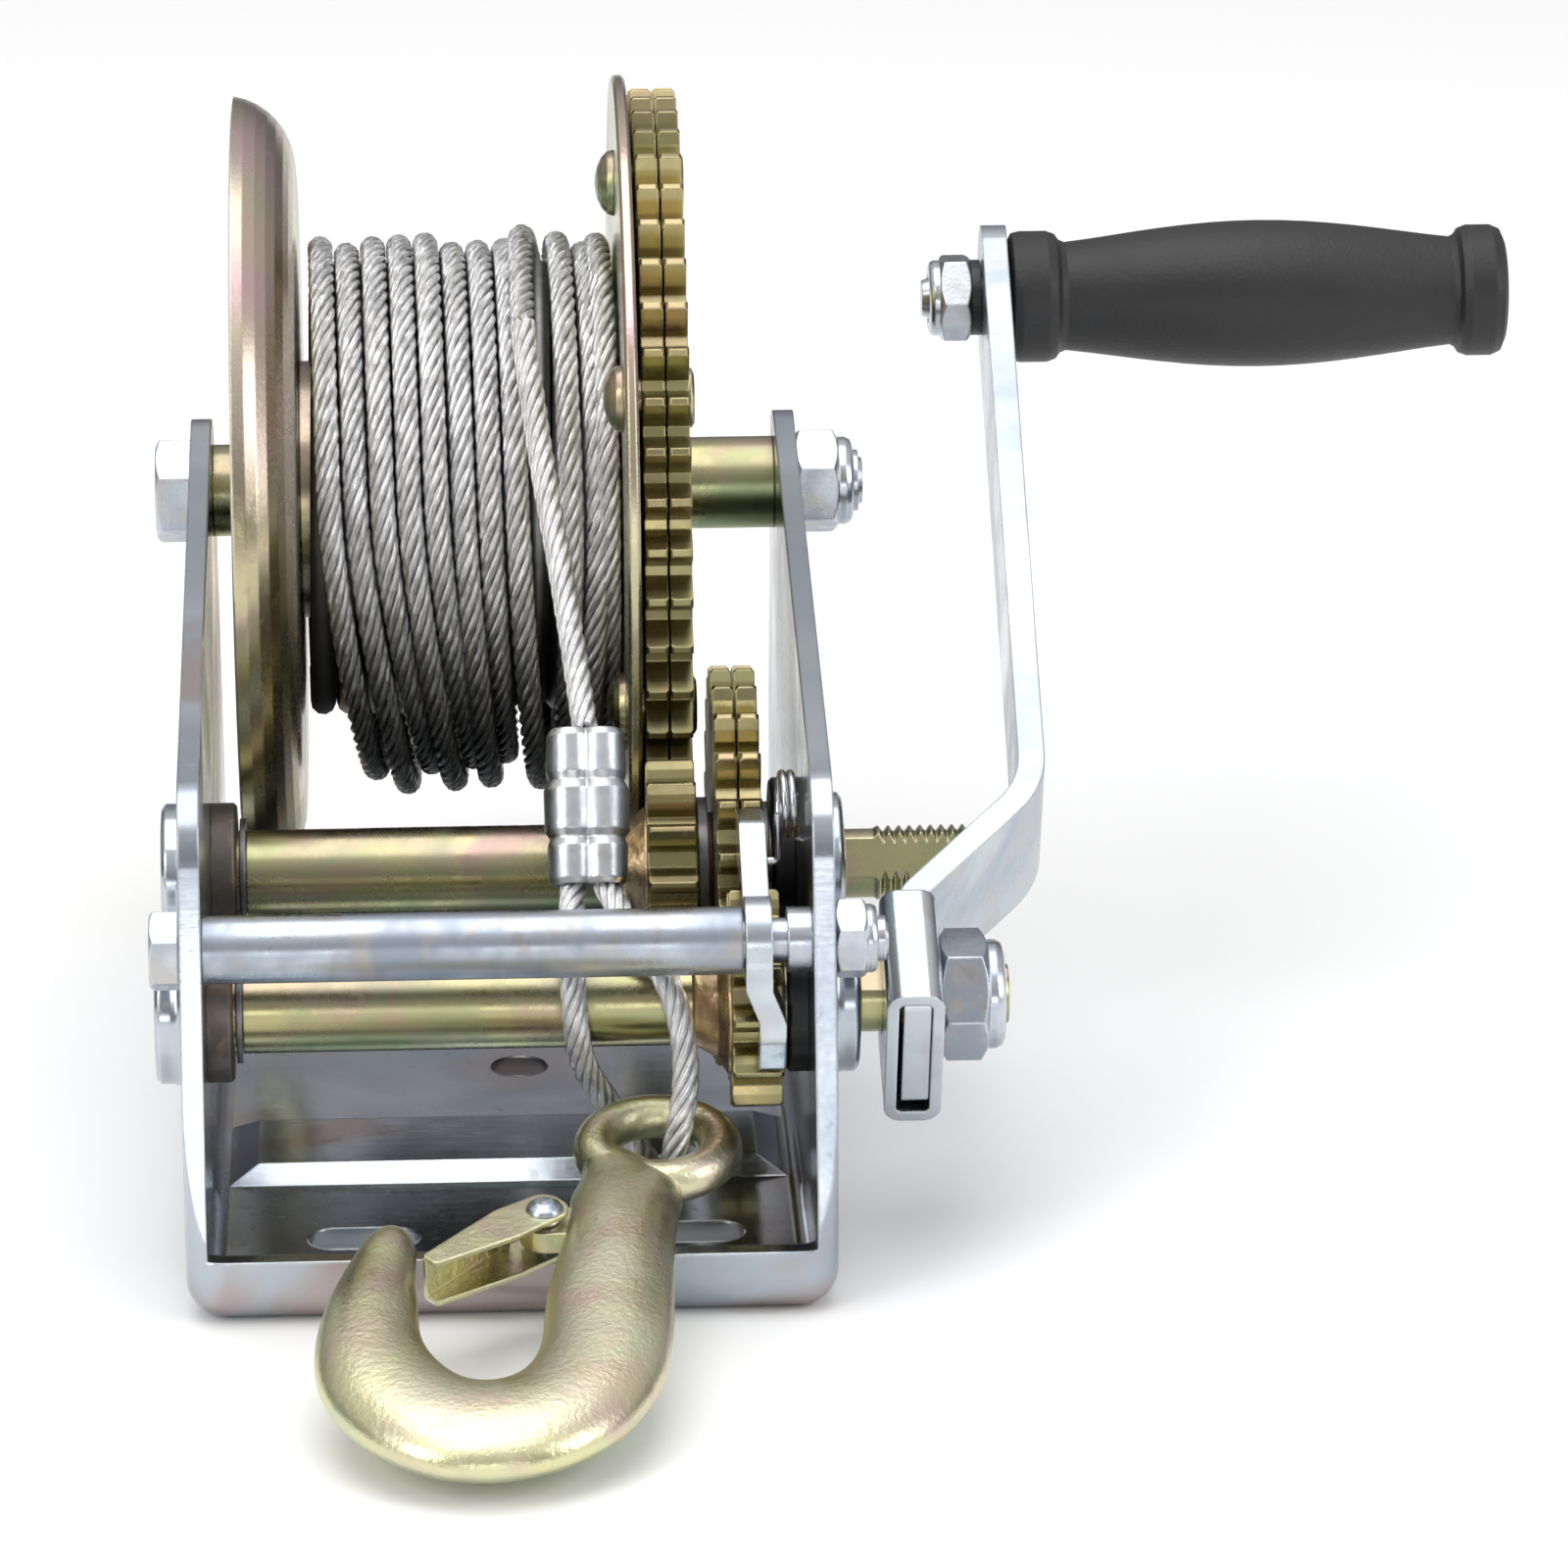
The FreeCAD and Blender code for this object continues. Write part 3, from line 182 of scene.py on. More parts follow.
def make_plating_bloom():
    """The cloudy colour of a zinc plated surface: broad clouds, small blotches and a few dull specks."""
    tree, given, made = group_tree(
        "plating_bloom",
        [("Light", "NodeSocketColor", (0.7, 0.72, 0.75, 1)),
         ("Deep", "NodeSocketColor", (0.5, 0.52, 0.58, 1)),
         ("Tint", "NodeSocketColor", (0.6, 0.55, 0.5, 1)), ("Cloud Scale", "NodeSocketFloat", 30.0),
         ("Roughness", "NodeSocketFloat", 0.28), ("Unevenness", "NodeSocketFloat", 0.1)],
        [("Color", "NodeSocketColor"), ("Roughness", "NodeSocketFloat"), ("Cloud", "NodeSocketFloat")])
    place = put(tree, "ShaderNodeTexCoord").outputs["Object"]
    clouds = put(tree, "ShaderNodeTexNoise", None, Vector=place, Scale=given.outputs["Cloud Scale"],
                 Detail=3.0, Roughness=0.55, Distortion=0.6).outputs[0]
    cloud = spread(tree, clouds, 0.36, 0.64)
    moved = put(tree, "ShaderNodeMapping", None, Vector=place, Location=(0.31, 0.17, 0.23)).outputs[0]
    tint_clouds = put(tree, "ShaderNodeTexNoise", None, Vector=moved,
                      Scale=maths(tree, "MULTIPLY", given.outputs["Cloud Scale"], 1.7),
                      Detail=2.0, Roughness=0.5, Distortion=0.9).outputs[0]
    tint = spread(tree, tint_clouds, 0.5, 0.68)
    grain = put(tree, "ShaderNodeTexNoise", None, Vector=place, Scale=900.0, Detail=2.0).outputs[0]
    specks = spread(tree, put(tree, "ShaderNodeTexNoise", None, Vector=place, Scale=330.0,
                              Detail=1.0).outputs[0],
                    0.66, 0.74)
    colour = blend(tree, cloud, given.outputs["Light"], given.outputs["Deep"])
    colour = blend(tree, tint, colour, given.outputs["Tint"])
    dull = blend(tree, maths(tree, "MULTIPLY", specks, 0.08), colour, (0.32, 0.31, 0.3, 1))
    rough = maths(tree, "ADD", given.outputs["Roughness"],
                  maths(tree, "MULTIPLY", maths(tree, "SUBTRACT", cloud, 0.5), given.outputs["Unevenness"]))
    rough = maths(tree, "ADD", rough, maths(tree, "MULTIPLY", maths(tree, "SUBTRACT", grain, 0.5), 0.12))
    rough = maths(tree, "ADD", rough, maths(tree, "MULTIPLY", specks, 0.05), True)
    for socket, value in (("Color", dull), ("Roughness", rough), ("Cloud", cloud)):
        tree.links.new(value, made.inputs[socket])
    return tree


def make_edge_rub():
    """Where an edge is rubbed bright, and a normal that rounds it a little."""
    tree, given, made = group_tree(
        "edge_rub", [("Edge Radius", "NodeSocketFloat", 0.0006), ("Amount", "NodeSocketFloat", 1.0)],
        [("Rub", "NodeSocketFloat"), ("Normal", "NodeSocketVector")])
    rounded = put(tree, "ShaderNodeBevel", {"samples": 6}, Radius=given.outputs["Edge Radius"]).outputs[0]
    flat = put(tree, "ShaderNodeNewGeometry").outputs["Normal"]
    along = put(tree, "ShaderNodeVectorMath", {"operation": "DOT_PRODUCT"}, _0=rounded,
                _1=flat).outputs["Value"]
    place = put(tree, "ShaderNodeTexCoord").outputs["Object"]
    patchy = spread(tree, put(tree, "ShaderNodeTexNoise", None, Vector=place, Scale=140.0,
                              Detail=3.0).outputs[0],
                    0.35, 0.6, 0.25, 1.0)
    edge = spread(tree, along, 0.995, 0.93)
    rub = maths(tree, "MULTIPLY", maths(tree, "MULTIPLY", edge, patchy), given.outputs["Amount"], True)
    tree.links.new(rub, made.inputs["Rub"])
    tree.links.new(rounded, made.inputs["Normal"])
    return tree


def make_tool_marks():
    """Fine marks drawn along one way of a surface, and the hammer-fine unevenness of sheet and bar."""
    tree, given, made = group_tree(
        "tool_marks", [("Stretch", "NodeSocketVector", (1.0, 1.0, 1.0)),
                       ("Scale", "NodeSocketFloat", 900.0),
                       ("Dents", "NodeSocketFloat", 0.5)], [("Height", "NodeSocketFloat")])
    place = put(tree, "ShaderNodeTexCoord").outputs["Object"]
    drawn = put(tree, "ShaderNodeVectorMath", {"operation": "MULTIPLY"}, _0=place,
                _1=given.outputs["Stretch"]).outputs[0]
    lines = put(tree, "ShaderNodeTexNoise", None, Vector=drawn, Scale=given.outputs["Scale"], Detail=3.0,
                Roughness=0.6).outputs[0]
    dents = put(tree, "ShaderNodeTexNoise", None, Vector=place, Scale=75.0, Detail=2.0,
                Roughness=0.45).outputs[0]
    depth = maths(tree, "MULTIPLY", given.outputs["Dents"], 6.0)
    height = maths(tree, "ADD", lines, maths(tree, "MULTIPLY", dents, depth))
    tree.links.new(height, made.inputs["Height"])
    return tree


def make_wire_lay():
    """The wires that twist inside a rope's strand, along its UV map: grooves, and how bright each wire is."""
    tree, given, made = group_tree(
        "wire_lay", [("Along", "NodeSocketFloat", 700.0), ("Round", "NodeSocketFloat", 6.0)],
        [("Height", "NodeSocketFloat"), ("Groove", "NodeSocketFloat"), ("Shade", "NodeSocketFloat")])
    place = put(tree, "ShaderNodeUVMap", {"uv_map": "UVMap"}).outputs[0]
    part = put(tree, "ShaderNodeSeparateXYZ", None, Vector=place)
    turn = maths(tree, "ADD", maths(tree, "MULTIPLY", part.outputs[1], given.outputs["Along"]),
                 maths(tree, "MULTIPLY", part.outputs[0], given.outputs["Round"]))
    wave = maths(tree, "ABSOLUTE", maths(tree, "SINE", maths(tree, "MULTIPLY", turn, pi)))
    groove = spread(tree, wave, 0.45, 0.0)
    where = put(tree, "ShaderNodeTexCoord").outputs["Object"]
    dull = put(tree, "ShaderNodeTexNoise", None, Vector=where, Scale=260.0, Detail=2.0).outputs[0]
    for socket, value in (("Height", wave), ("Groove", groove), ("Shade", spread(tree, dull, 0.3, 0.7))):
        tree.links.new(value, made.inputs[socket])
    return tree


def make_moulded_grain():
    """The fine pebbled grain of moulded plastic and rubber, with a little handling polish."""
    tree, given, made = group_tree(
        "moulded_grain", [("Scale", "NodeSocketFloat", 1500.0), ("Roughness", "NodeSocketFloat", 0.55)],
        [("Height", "NodeSocketFloat"), ("Roughness", "NodeSocketFloat"), ("Shade", "NodeSocketFloat")])
    place = put(tree, "ShaderNodeTexCoord").outputs["Object"]
    pebbles = put(tree, "ShaderNodeTexVoronoi", {"feature": "SMOOTH_F1"}, Vector=place,
                  Scale=given.outputs["Scale"]).outputs["Distance"]
    fine = put(tree, "ShaderNodeTexNoise", None, Vector=place, Scale=2600.0, Detail=2.0).outputs[0]
    smear = put(tree, "ShaderNodeTexNoise", None, Vector=place, Scale=40.0, Detail=3.0).outputs[0]
    height = maths(tree, "ADD", pebbles, maths(tree, "MULTIPLY", fine, 0.5))
    rough = maths(tree, "ADD", given.outputs["Roughness"],
                  maths(tree, "MULTIPLY", maths(tree, "SUBTRACT", smear, 0.5), 0.3), True)
    for socket, value in (("Height", height), ("Roughness", rough),
                          ("Shade", spread(tree, smear, 0.3, 0.7))):
        tree.links.new(value, made.inputs[socket])
    return tree


plating_bloom, edge_rub, tool_marks = make_plating_bloom(), make_edge_rub(), make_tool_marks()
wire_lay, moulded_grain = make_wire_lay(), make_moulded_grain()


# ---------------------------------------------------------------- materials
def new_finish(name):
    """A material, its node tree and its shader."""
    material = bpy.data.materials.new(name)
    material.use_nodes = True
    return material, material.node_tree, material.node_tree.nodes["Principled BSDF"]


def use(tree, group, **sockets):
    """A node of a shader group, with its named sockets given values or linked."""
    node = tree.nodes.new("ShaderNodeGroup")
    node.node_tree = group
    for key, value in sockets.items():
        socket = node.inputs[key.replace("_", " ")]
        if isinstance(value, bpy.types.NodeSocket):
            tree.links.new(value, socket)
        else:
            socket.default_value = value
    return node


def plated(name, light, deep, tint, rough, uneven, clouds, bright, edge=0.0006, stretch=(1, 1, 1),
           marks=900.0, dents=0.5, bump=0.05):
    """A zinc plated steel finish: cloudy colour, rubbed edges and fine marks."""
    material, tree, shader = new_finish(name)
    bloom = use(tree, plating_bloom, Light=(*light, 1), Deep=(*deep, 1), Tint=(*tint, 1),
                Cloud_Scale=clouds, Roughness=rough, Unevenness=uneven)
    edges = use(tree, edge_rub, Edge_Radius=edge, Amount=0.7)
    colour = blend(tree, edges.outputs["Rub"], bloom.outputs["Color"], (*bright, 1))
    marked = use(tree, tool_marks, Stretch=stretch, Scale=marks, Dents=dents)
    relief = put(tree, "ShaderNodeBump", None, Height=marked.outputs["Height"],
                 Normal=edges.outputs["Normal"], Strength=bump, Distance=0.0004)
    tree.links.new(colour, shader.inputs["Base Color"])
    tree.links.new(bloom.outputs["Roughness"], shader.inputs["Roughness"])
    tree.links.new(relief.outputs[0], shader.inputs["Normal"])
    shader.inputs["Metallic"].default_value = 1.0
    return material


def yellow_plated(name, gold, green, pink, rough, clouds, bright=(0.86, 0.8, 0.62), marks=900.0,
                  stretch=(1, 1, 1), bump=0.05):
    """Yellow chromate over zinc: gold that runs to green and pink with the way the surface faces, a painted
    iridescent sheen, over film colour that drifts from place to place.
    """
    material, tree, shader = new_finish(name)
    bloom = use(tree, plating_bloom, Light=(*gold, 1), Deep=(*green, 1), Tint=(*pink, 1),
                Cloud_Scale=clouds, Roughness=rough, Unevenness=0.1)
    # Painted iridescent sheen: the hue shifts with the surface's facing in object space; the noise drift
    # added to it is the film's own unevenness.
    painted_sheen_facing = put(tree, "ShaderNodeSeparateXYZ", None,
                 Vector=put(tree, "ShaderNodeTexCoord").outputs["Normal"])
    place = put(tree, "ShaderNodeTexCoord").outputs["Object"]
    drift = put(tree, "ShaderNodeTexNoise", None, Vector=place, Scale=clouds * 0.7, Detail=2.0,
                Distortion=1.2).outputs[0]
    film_and_sheen = maths(tree, "ADD", maths(tree, "MULTIPLY", painted_sheen_facing.outputs[2], 0.35),
                 maths(tree, "MULTIPLY", painted_sheen_facing.outputs[0], 0.2))
    film_and_sheen = maths(tree, "FRACT", maths(tree, "ADD", maths(tree, "ADD", film_and_sheen, drift), 0.35))
    rainbow = put(tree, "ShaderNodeValToRGB", None, Fac=film_and_sheen)
    stops = rainbow.color_ramp
    stops.elements[0].color, stops.elements[1].color = (*gold, 1), (*gold, 1)
    for spot, colour in ((0.22, pink), (0.42, gold), (0.62, green), (0.82, gold)):
        stops.elements.new(spot).color = (*colour, 1)
    colour = blend(tree, 0.55, bloom.outputs["Color"], rainbow.outputs[0])
    edges = use(tree, edge_rub, Edge_Radius=0.0005, Amount=0.6)
    colour = blend(tree, edges.outputs["Rub"], colour, (*bright, 1))
    marked = use(tree, tool_marks, Stretch=stretch, Scale=marks, Dents=0.3)
    relief = put(tree, "ShaderNodeBump", None, Height=marked.outputs["Height"],
                 Normal=edges.outputs["Normal"], Strength=bump, Distance=0.0004)
    tree.links.new(colour, shader.inputs["Base Color"])
    tree.links.new(bloom.outputs["Roughness"], shader.inputs["Roughness"])
    tree.links.new(relief.outputs[0], shader.inputs["Normal"])
    shader.inputs["Metallic"].default_value = 1.0
    return material


def moulded(name, colour, pale, rough, grain, bump):
    """Moulded black plastic or rubber."""
    material, tree, shader = new_finish(name)
    skin = use(tree, moulded_grain, Scale=grain, Roughness=rough)
    edges = use(tree, edge_rub, Edge_Radius=0.0005, Amount=0.6)
    shade = blend(tree, skin.outputs["Shade"], (*colour, 1), (*pale, 1))
    shade = blend(tree, edges.outputs["Rub"], shade, tuple(2.2 * c for c in pale) + (1,))
    relief = put(tree, "ShaderNodeBump", None, Height=skin.outputs["Height"],
                 Normal=edges.outputs["Normal"], Strength=bump, Distance=0.0002)
    tree.links.new(shade, shader.inputs["Base Color"])
    tree.links.new(skin.outputs["Roughness"], shader.inputs["Roughness"])
    tree.links.new(relief.outputs[0], shader.inputs["Normal"])
    return material


def wire_steel(name, bright, groove_shade, along, around, rough):
    """Galvanised wire rope strand: bright wires, painted shade in the grooves, and painted shade low down on
    the drum.
    """
    material, tree, shader = new_finish(name)
    lay = use(tree, wire_lay, Along=along, Round=around)
    colour = blend(tree, lay.outputs["Shade"], (*bright, 1), tuple(0.72 * c for c in bright) + (1,))
    # Painted shade: the grooves between the wires are darkened towards the groove shade colour.
    colour = blend(tree, maths(tree, "MULTIPLY", lay.outputs["Groove"], 0.45), colour, (*groove_shade, 1))
    # Painted shade: the rope turns near black towards the drum's underside, by height in object coordinates.
    place = put(tree, "ShaderNodeSeparateXYZ", None,
                Vector=put(tree, "ShaderNodeTexCoord").outputs["Object"])
    behind = spread(tree, place.outputs[1], 0.06, 0.075)
    painted_shade_low = maths(tree, "MULTIPLY", spread(tree, place.outputs[2], 0.112, 0.062), behind)
    colour = blend(tree, maths(tree, "MULTIPLY", painted_shade_low, 0.86), colour, (0.05, 0.052, 0.045, 1))
    relief = put(tree, "ShaderNodeBump", None, Height=lay.outputs["Height"], Strength=0.4, Distance=0.0001)
    tree.links.new(colour, shader.inputs["Base Color"])
    tree.links.new(spread(tree, lay.outputs["Groove"], 0.0, 1.0, rough, 0.7), shader.inputs["Roughness"])
    tree.links.new(relief.outputs[0], shader.inputs["Normal"])
    shader.inputs["Metallic"].default_value = 1.0
    return material


finishes = {
    "sheet_zinc": plated("sheet_zinc", (0.5, 0.54, 0.58), (0.34, 0.38, 0.43), (0.43, 0.37, 0.37), 0.2, 0.1,
                         14.0,
                         (0.66, 0.69, 0.72), edge=0.0008, stretch=(0.15, 1, 1), marks=520.0, dents=0.7),
    "bright_zinc": plated("bright_zinc", (0.54, 0.57, 0.62), (0.38, 0.42, 0.49), (0.48, 0.47, 0.46), 0.27,
                          0.12, 60.0, (0.78, 0.8, 0.82), marks=1300.0),
    "tube_zinc": plated("tube_zinc", (0.44, 0.48, 0.54), (0.3, 0.34, 0.4), (0.4, 0.39, 0.39), 0.34, 0.16,
                        60.0, (0.6, 0.63, 0.66), marks=900.0, dents=0.8),
    "crank_zinc": plated("crank_zinc", (0.56, 0.61, 0.63), (0.4, 0.45, 0.5), (0.5, 0.5, 0.52), 0.26, 0.12,
                         34.0, (0.74, 0.77, 0.79), stretch=(1, 1, 0.12), marks=700.0),
    "yellow_zinc": yellow_plated("yellow_zinc", (0.42, 0.38, 0.2), (0.24, 0.32, 0.18), (0.38, 0.27, 0.24),
                                 0.28, 40.0),
    "drum_zinc": yellow_plated("drum_zinc", (0.56, 0.48, 0.3), (0.38, 0.42, 0.26), (0.58, 0.4, 0.42), 0.24,
                               14.0),
    "gear_zinc": yellow_plated("gear_zinc", (0.36, 0.31, 0.15), (0.23, 0.25, 0.12), (0.35, 0.26, 0.17),
                               0.3, 34.0, bright=(0.62, 0.54, 0.32), stretch=(0.1, 1, 1), marks=600.0),
    "hook_zinc": yellow_plated("hook_zinc", (0.68, 0.65, 0.38), (0.54, 0.62, 0.44), (0.64, 0.5, 0.42), 0.34,
                               44.0, bump=0.3),
    "sintered": plated("sintered", (0.2, 0.17, 0.15), (0.14, 0.125, 0.11), (0.24, 0.19, 0.15), 0.5, 0.1,
                       90.0, (0.36, 0.32, 0.27), bump=0.12),
    "dark_steel": plated("dark_steel", (0.2, 0.2, 0.21), (0.13, 0.13, 0.14), (0.2, 0.17, 0.15), 0.4, 0.1,
                         90.0, (0.45, 0.45, 0.46)),
    "brown_spacer": plated("brown_spacer", (0.22, 0.13, 0.09), (0.16, 0.1, 0.07), (0.25, 0.16, 0.1), 0.5,
                           0.1, 90.0, (0.35, 0.22, 0.14)),
    "braze": plated("braze", (0.7, 0.52, 0.3), (0.55, 0.38, 0.22), (0.42, 0.28, 0.17), 0.32, 0.2, 130.0,
                    (0.75, 0.56, 0.32), bump=0.4, dents=1.5),
    "aluminium": plated("aluminium", (0.6, 0.62, 0.64), (0.46, 0.48, 0.51), (0.54, 0.54, 0.54), 0.34, 0.12,
                        80.0, (0.88, 0.89, 0.9), marks=700.0, dents=1.2, bump=0.12),
    "spring_wire": plated("spring_wire", (0.66, 0.67, 0.69), (0.48, 0.48, 0.5), (0.55, 0.52, 0.48), 0.22,
                          0.08, 120.0, (0.8, 0.8, 0.8), edge=0.0002),
    "black_bushing": moulded("black_bushing", (0.01, 0.01, 0.011), (0.018, 0.018, 0.02), 0.42, 1400.0,
                             0.15),
    "grip_rubber": moulded("grip_rubber", (0.008, 0.008, 0.009), (0.013, 0.013, 0.014), 0.5, 1250.0, 0.3),
    "rope_strand": wire_steel("rope_strand", (0.86, 0.86, 0.87), (0.3, 0.29, 0.28), 690.0, -9.0, 0.27),
    # The hidden under layers: the same rope given a much darker copy of its finish, painted shade under the
    # wraps in sight.
    "under_rope": wire_steel("under_rope", (0.3, 0.3, 0.3), (0.05, 0.05, 0.05), 0.0, 12.0, 0.45),
}

wearing = {
    "sheet_zinc": ["frame"],
    "tube_zinc": ["tie_tube"],
    "bright_zinc": ["tie_sleeve", "tie_bolt", "tie_nut", "axle_bolt", "axle_nut", "crank_nut",
                    "grip_bolt", "grip_nut", "rope_clamp", "rope_clamp_screw", "latch_rivet"],
    "crank_zinc": ["pawl", "crank_bracket", "crank_arm"],
    "yellow_zinc": ["rear_shaft", "front_shaft", "axle_tube", "drum_rivets"],
    "drum_zinc": ["drum_flange_left", "drum_core", "drum_flange_right"],
    "gear_zinc": ["drum_gear_inner", "drum_gear_outer", "rear_pinion", "front_pinion",
                  "intermediate_gear_inner", "intermediate_gear_outer"],
    "hook_zinc": ["hook", "latch"],
    "sintered": ["bushing_front_left", "bushing_rear_left"],
    "brown_spacer": ["rear_spacer"],
    "dark_steel": ["rear_retaining_ring", "front_retaining_ring", "rear_washer", "rear_collar",
                   "front_collar"],
    "braze": ["rear_pinion_braze", "front_pinion_braze"],
    "aluminium": ["ferrule"],
    "spring_wire": ["pawl_spring", "latch_spring"],
    "black_bushing": ["bushing_front_right", "bushing_rear_right", "drum_bushing_left",
                      "drum_bushing_right", "grip_washer"],
    "grip_rubber": ["grip"],
}
for finish, names in wearing.items():
    for name in names:
        for place in nodes[name].material_slots:
            place.material = finishes[finish]


# ---------------------------------------------------------------- rope
def smooth_line(points, fineness=8):
    """The points of the smooth line that a rope takes along its control points."""
    curve = bpy.data.curves.new("rope_line", "CURVE")
    curve.dimensions, curve.resolution_u = "3D", fineness
    spline = curve.splines.new("NURBS")
    spline.points.add(len(points) - 1)
    for point, place in zip(spline.points, points):
        point.co = (*place, 1)
    spline.order_u, spline.use_endpoint_u = 3, True
    holder = bpy.data.objects.new("rope_line", curve)
    mesh = bpy.data.meshes.new_from_object(holder)
    line = [v.co.copy() for v in mesh.vertices]
    bpy.data.objects.remove(holder)
    bpy.data.curves.remove(curve)
    bpy.data.meshes.remove(mesh)
    return line


def evenly(line, step):
    """The line again, with its points a step apart."""
    lengths = [0.0]
    for a, b in zip(line, line[1:]):
        lengths.append(lengths[-1] + (b - a).length)
    count = max(2, ceil(lengths[-1] / step))
    out, k = [], 0
    for i in range(count + 1):
        want = lengths[-1] * i / count
        while k < len(line) - 2 and lengths[k + 1] < want:
            k += 1
        share = (want - lengths[k]) / max(lengths[k + 1] - lengths[k], 1e-9)
        out.append(line[k].lerp(line[k + 1], min(max(share, 0.0), 1.0)))
    return out, lengths[-1]


def laid_rope(name, points, body, replaced, step, sides=1):
    """Strands laid round each other along the smooth line of the points, with that line and its length."""
    line, length = evenly(smooth_line(points), step)
    ahead = [(b - a).normalized() for a, b in zip(line, line[1:])]
    ahead = [ahead[0]] + [(a + b).normalized() for a, b in zip(ahead, ahead[1:])] + [ahead[-1]]
    side = ahead[0].orthogonal().normalized()
    curve = bpy.data.curves.new(name, "CURVE")
    curve.dimensions, curve.bevel_depth, curve.bevel_resolution = "3D", STRAND_R, sides
    curve.use_fill_caps = True
    strands = [[] for _ in range(STRANDS)]
    for i, (centre, way) in enumerate(zip(line, ahead)):
        side = (side - side.dot(way) * way).normalized()
        other = way.cross(side)
        for k, strand in enumerate(strands):
            turn = 2 * pi * (k / STRANDS + i * length / (len(line) - 1) / LAY)
            strand.append(centre + STRAND_OUT * (cos(turn) * side + sin(turn) * other))
    for strand in strands:
        spline = curve.splines.new("POLY")
        spline.points.add(len(strand) - 1)
        for point, place in zip(spline.points, strand):
            point.co = (*place, 1)
        spline.use_smooth = True
    holder = bpy.data.objects.new(name + "_strands", curve)
    mesh = bpy.data.meshes.new_from_object(holder)
    bpy.data.objects.remove(holder)
    bpy.data.curves.remove(curve)
    for corner in mesh.uv_layers[0].data:
        corner.uv = (corner.uv[0], corner.uv[1] * length)
    mesh.name = name
    mesh.materials.clear()
    mesh.materials.append(finishes["rope_strand"])
    piece = bpy.data.objects.new(name, mesh)
    bpy.context.scene.collection.objects.link(piece)
    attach(piece, body)
    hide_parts(replaced)
    return piece, line, length


def round_drum(x, radius, degrees):
    """A point at x, at a radius and an angle round the drum's axle."""
    turn = radians(degrees)
    return at(x, DRUM_Y + radius * cos(turn), DRUM_Z + radius * sin(turn))


TURN = 16                               # points to a turn
START, LAST_START = 309, 129            # degrees where the loose wraps and the last turn start
TURNS_ACROSS = 11
FIRST_X, LAST_X = -34.7, 21.3           # the rope's middle beside each flange
PITCH = (LAST_X - FIRST_X) / TURNS_ACROSS
LAYER_RADII = (27.9, 32.6, 37.2, 41.8)
CLIMB, CLIMB_FROM = 4.6, 0.955          # how far a layer rises to the next, and the share where it begins
OUTER_R = 46.5                          # the wraps in sight
WIDEN = 1.012                           # a smooth line runs inside its points by about this much
LOOSE_TURNS = 10.5


def under_layers():
    """The layers that lie under the wraps in sight, from the drum's core outwards."""
    points = []
    for layer, radius in enumerate(LAYER_RADII):
        ends = (FIRST_X, LAST_X) if layer % 2 == 0 else (LAST_X, FIRST_X)
        last = layer == len(LAYER_RADII) - 1
        for step in range(TURNS_ACROSS * TURN):
            share = step / (TURNS_ACROSS * TURN)
            rise = 0.0 if last else max(0.0, share - CLIMB_FROM) / (1 - CLIMB_FROM) * CLIMB
            points.append(round_drum(ends[0] + (ends[1] - ends[0]) * share, (radius + rise) * WIDEN,
                                     START + 360 * step / TURN))
    curve = bpy.data.curves.new("under_rope", "CURVE")
    curve.dimensions, curve.resolution_u = "3D", 3
    curve.bevel_depth, curve.bevel_resolution, curve.use_fill_caps = ROPE / 2, 3, True
    spline = curve.splines.new("NURBS")
    spline.points.add(len(points) - 1)
    for point, place in zip(spline.points, points):
        point.co = (*place, 1)
    spline.order_u, spline.use_endpoint_u = 3, True
    curve.materials.append(finishes["under_rope"])
    piece = bpy.data.objects.new("under_rope", curve)
    bpy.context.scene.collection.objects.link(piece)
    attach(piece, "drum")
    line = smooth_line(points, 3)
    return points[-1]


# For each wrap in sight: how far it hangs from the drum's underside, how far it has slipped along it,
# and how proud it stands on top.
SLACK = [9.0, 12.0, 8.0, 11.5, 7.0, 11.0, 6.0, 11.5, 7.5, 10.0, 4.0]
SHIFT = [7.0, 8.0, 7.6, 7.0, 5.5, 3.6, 1.5, 0.5, -3.0, -4.0, -1.5]
PROUD = [0.6, -0.8, 0.4, 0.7, 1.0, -0.9, -0.6, -0.3, 0.9, -1.2, 0.5]
LEAVE = (5.6, 135.2, 147.3)             # where the rope leaves the drum


def ease(value, low, high):
    """From 0 at low to 1 at high, with a smooth start and end."""
    share = min(max((value - low) / (high - low), 0.0), 1.0)
    return share * share * (3 - 2 * share)


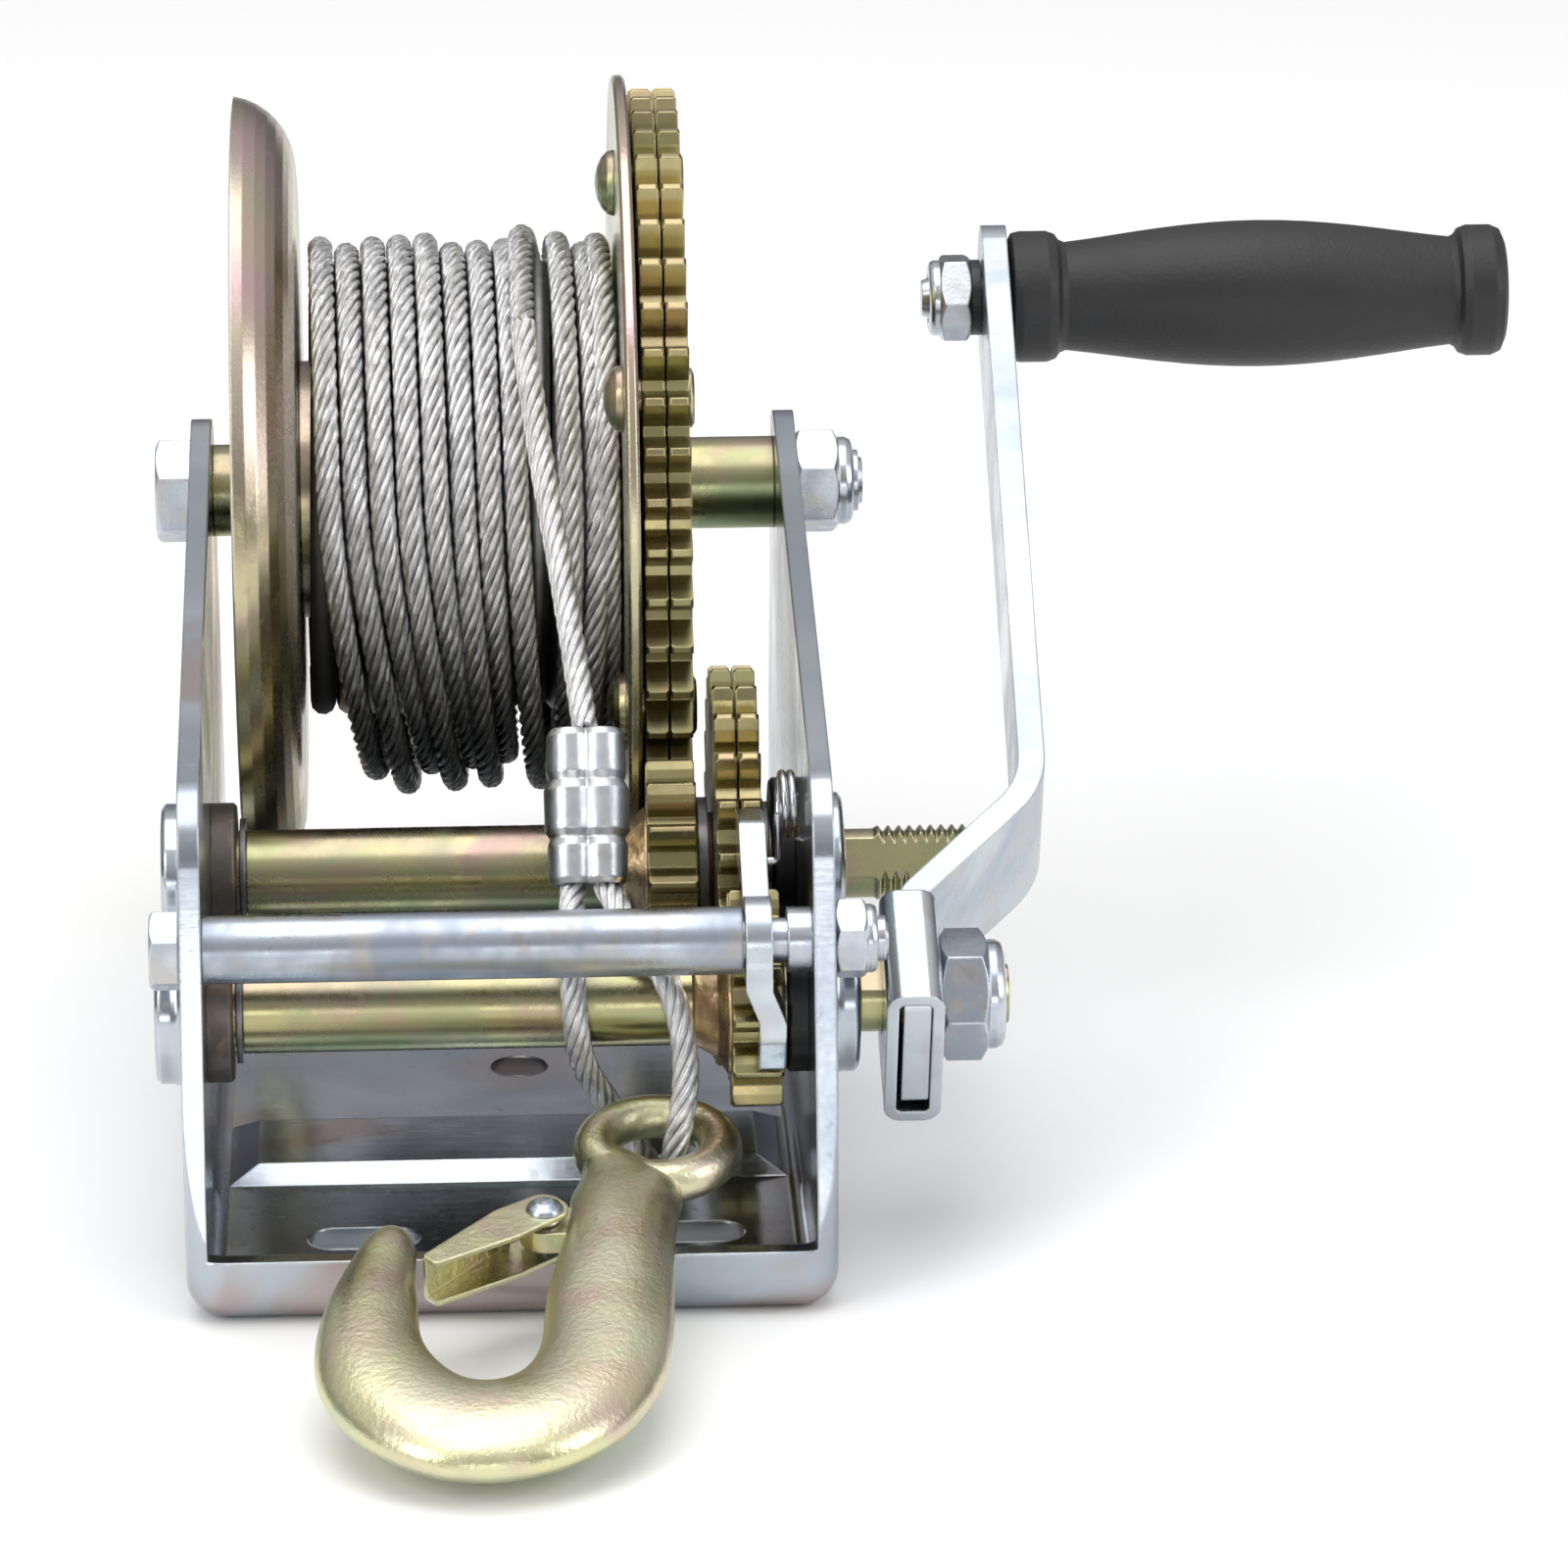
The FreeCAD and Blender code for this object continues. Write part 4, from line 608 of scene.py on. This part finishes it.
def wraps_in_sight(start):
    """The loose outer wraps, and the last turn that crosses them to where the rope leaves the drum."""
    points = [start]
    for step in range(1, int(LOOSE_TURNS * TURN) + 1):
        wraps = step / TURN
        index, degrees = min(int(wraps), len(SLACK) - 1), START + 360 * wraps
        down = max(0.0, -sin(radians(degrees + 8)))
        x = FIRST_X + PITCH * (wraps + ease(wraps, 7.6, 8.1) - ease(wraps, 9.8, 10.4) * 0.5)
        radius = OUTER_R - 4.2 * (1 - ease(wraps, 0.0, 0.35))
        out = SLACK[index] * down ** 1.3 + PROUD[index] * (1 - down)
        points.append(round_drum(x + SHIFT[index] * down ** 1.5, radius * WIDEN + out, degrees))
    for step in range(1, TURN):
        share = step / TURN
        degrees = LAST_START + 360 * share
        over = ease(share, 0.3, 0.45) - ease(share, 0.72, 0.95)
        down = max(0.0, -sin(radians(degrees + 8)))
        x = LAST_X + (LEAVE[0] - LAST_X) * ease(share, 0.35, 0.9)
        out = 5.0 * over + 2.0 * down + 2.2 * ease(share, 0.85, 1.0)
        points.append(round_drum(x, OUTER_R * WIDEN + out, degrees))
    points.append(at(*LEAVE))
    piece, line, length = laid_rope("rope_wraps", points, "drum", "rope_winding", step=0.0021)


def rope_to_the_hook():
    """The end of the rope from the drum to the ferrule, and the eye that holds the hook."""
    tail = [at(*p) for p in (LEAVE, (8.2, 113.0, 127.9), (12.4, 88.6, 108.2), (15.2, 64.4, 90.0))]
    piece, line, length = laid_rope("rope_end", tail, "frame", "rope_tail", step=0.0015, sides=2)
    eye = [at(*p) for p in (
        (18.2, 50.3, 64.8), (22.0, 40.4, 60.4), (28.6, 32.6, 54.0), (31.6, 28.4, 44.6), (32.0, 24.2, 35.4),
        (30.2, 20.9, 27.0), (28.6, 22.0, 18.6), (26.8, 29.8, 14.9), (23.0, 37.8, 19.4), (17.2, 38.6, 28.2),
        (13.2, 33.2, 36.6), (12.0, 29.6, 45.6), (11.8, 32.4, 54.0), (11.6, 40.2, 60.4), (12.4, 50.3, 64.8))]
    piece, line, length = laid_rope("rope_eye", eye, "frame", "rope_loop", step=0.0012, sides=2)


set_up_camera()
set_up_studio()
wraps_in_sight(under_layers())
rope_to_the_hook()
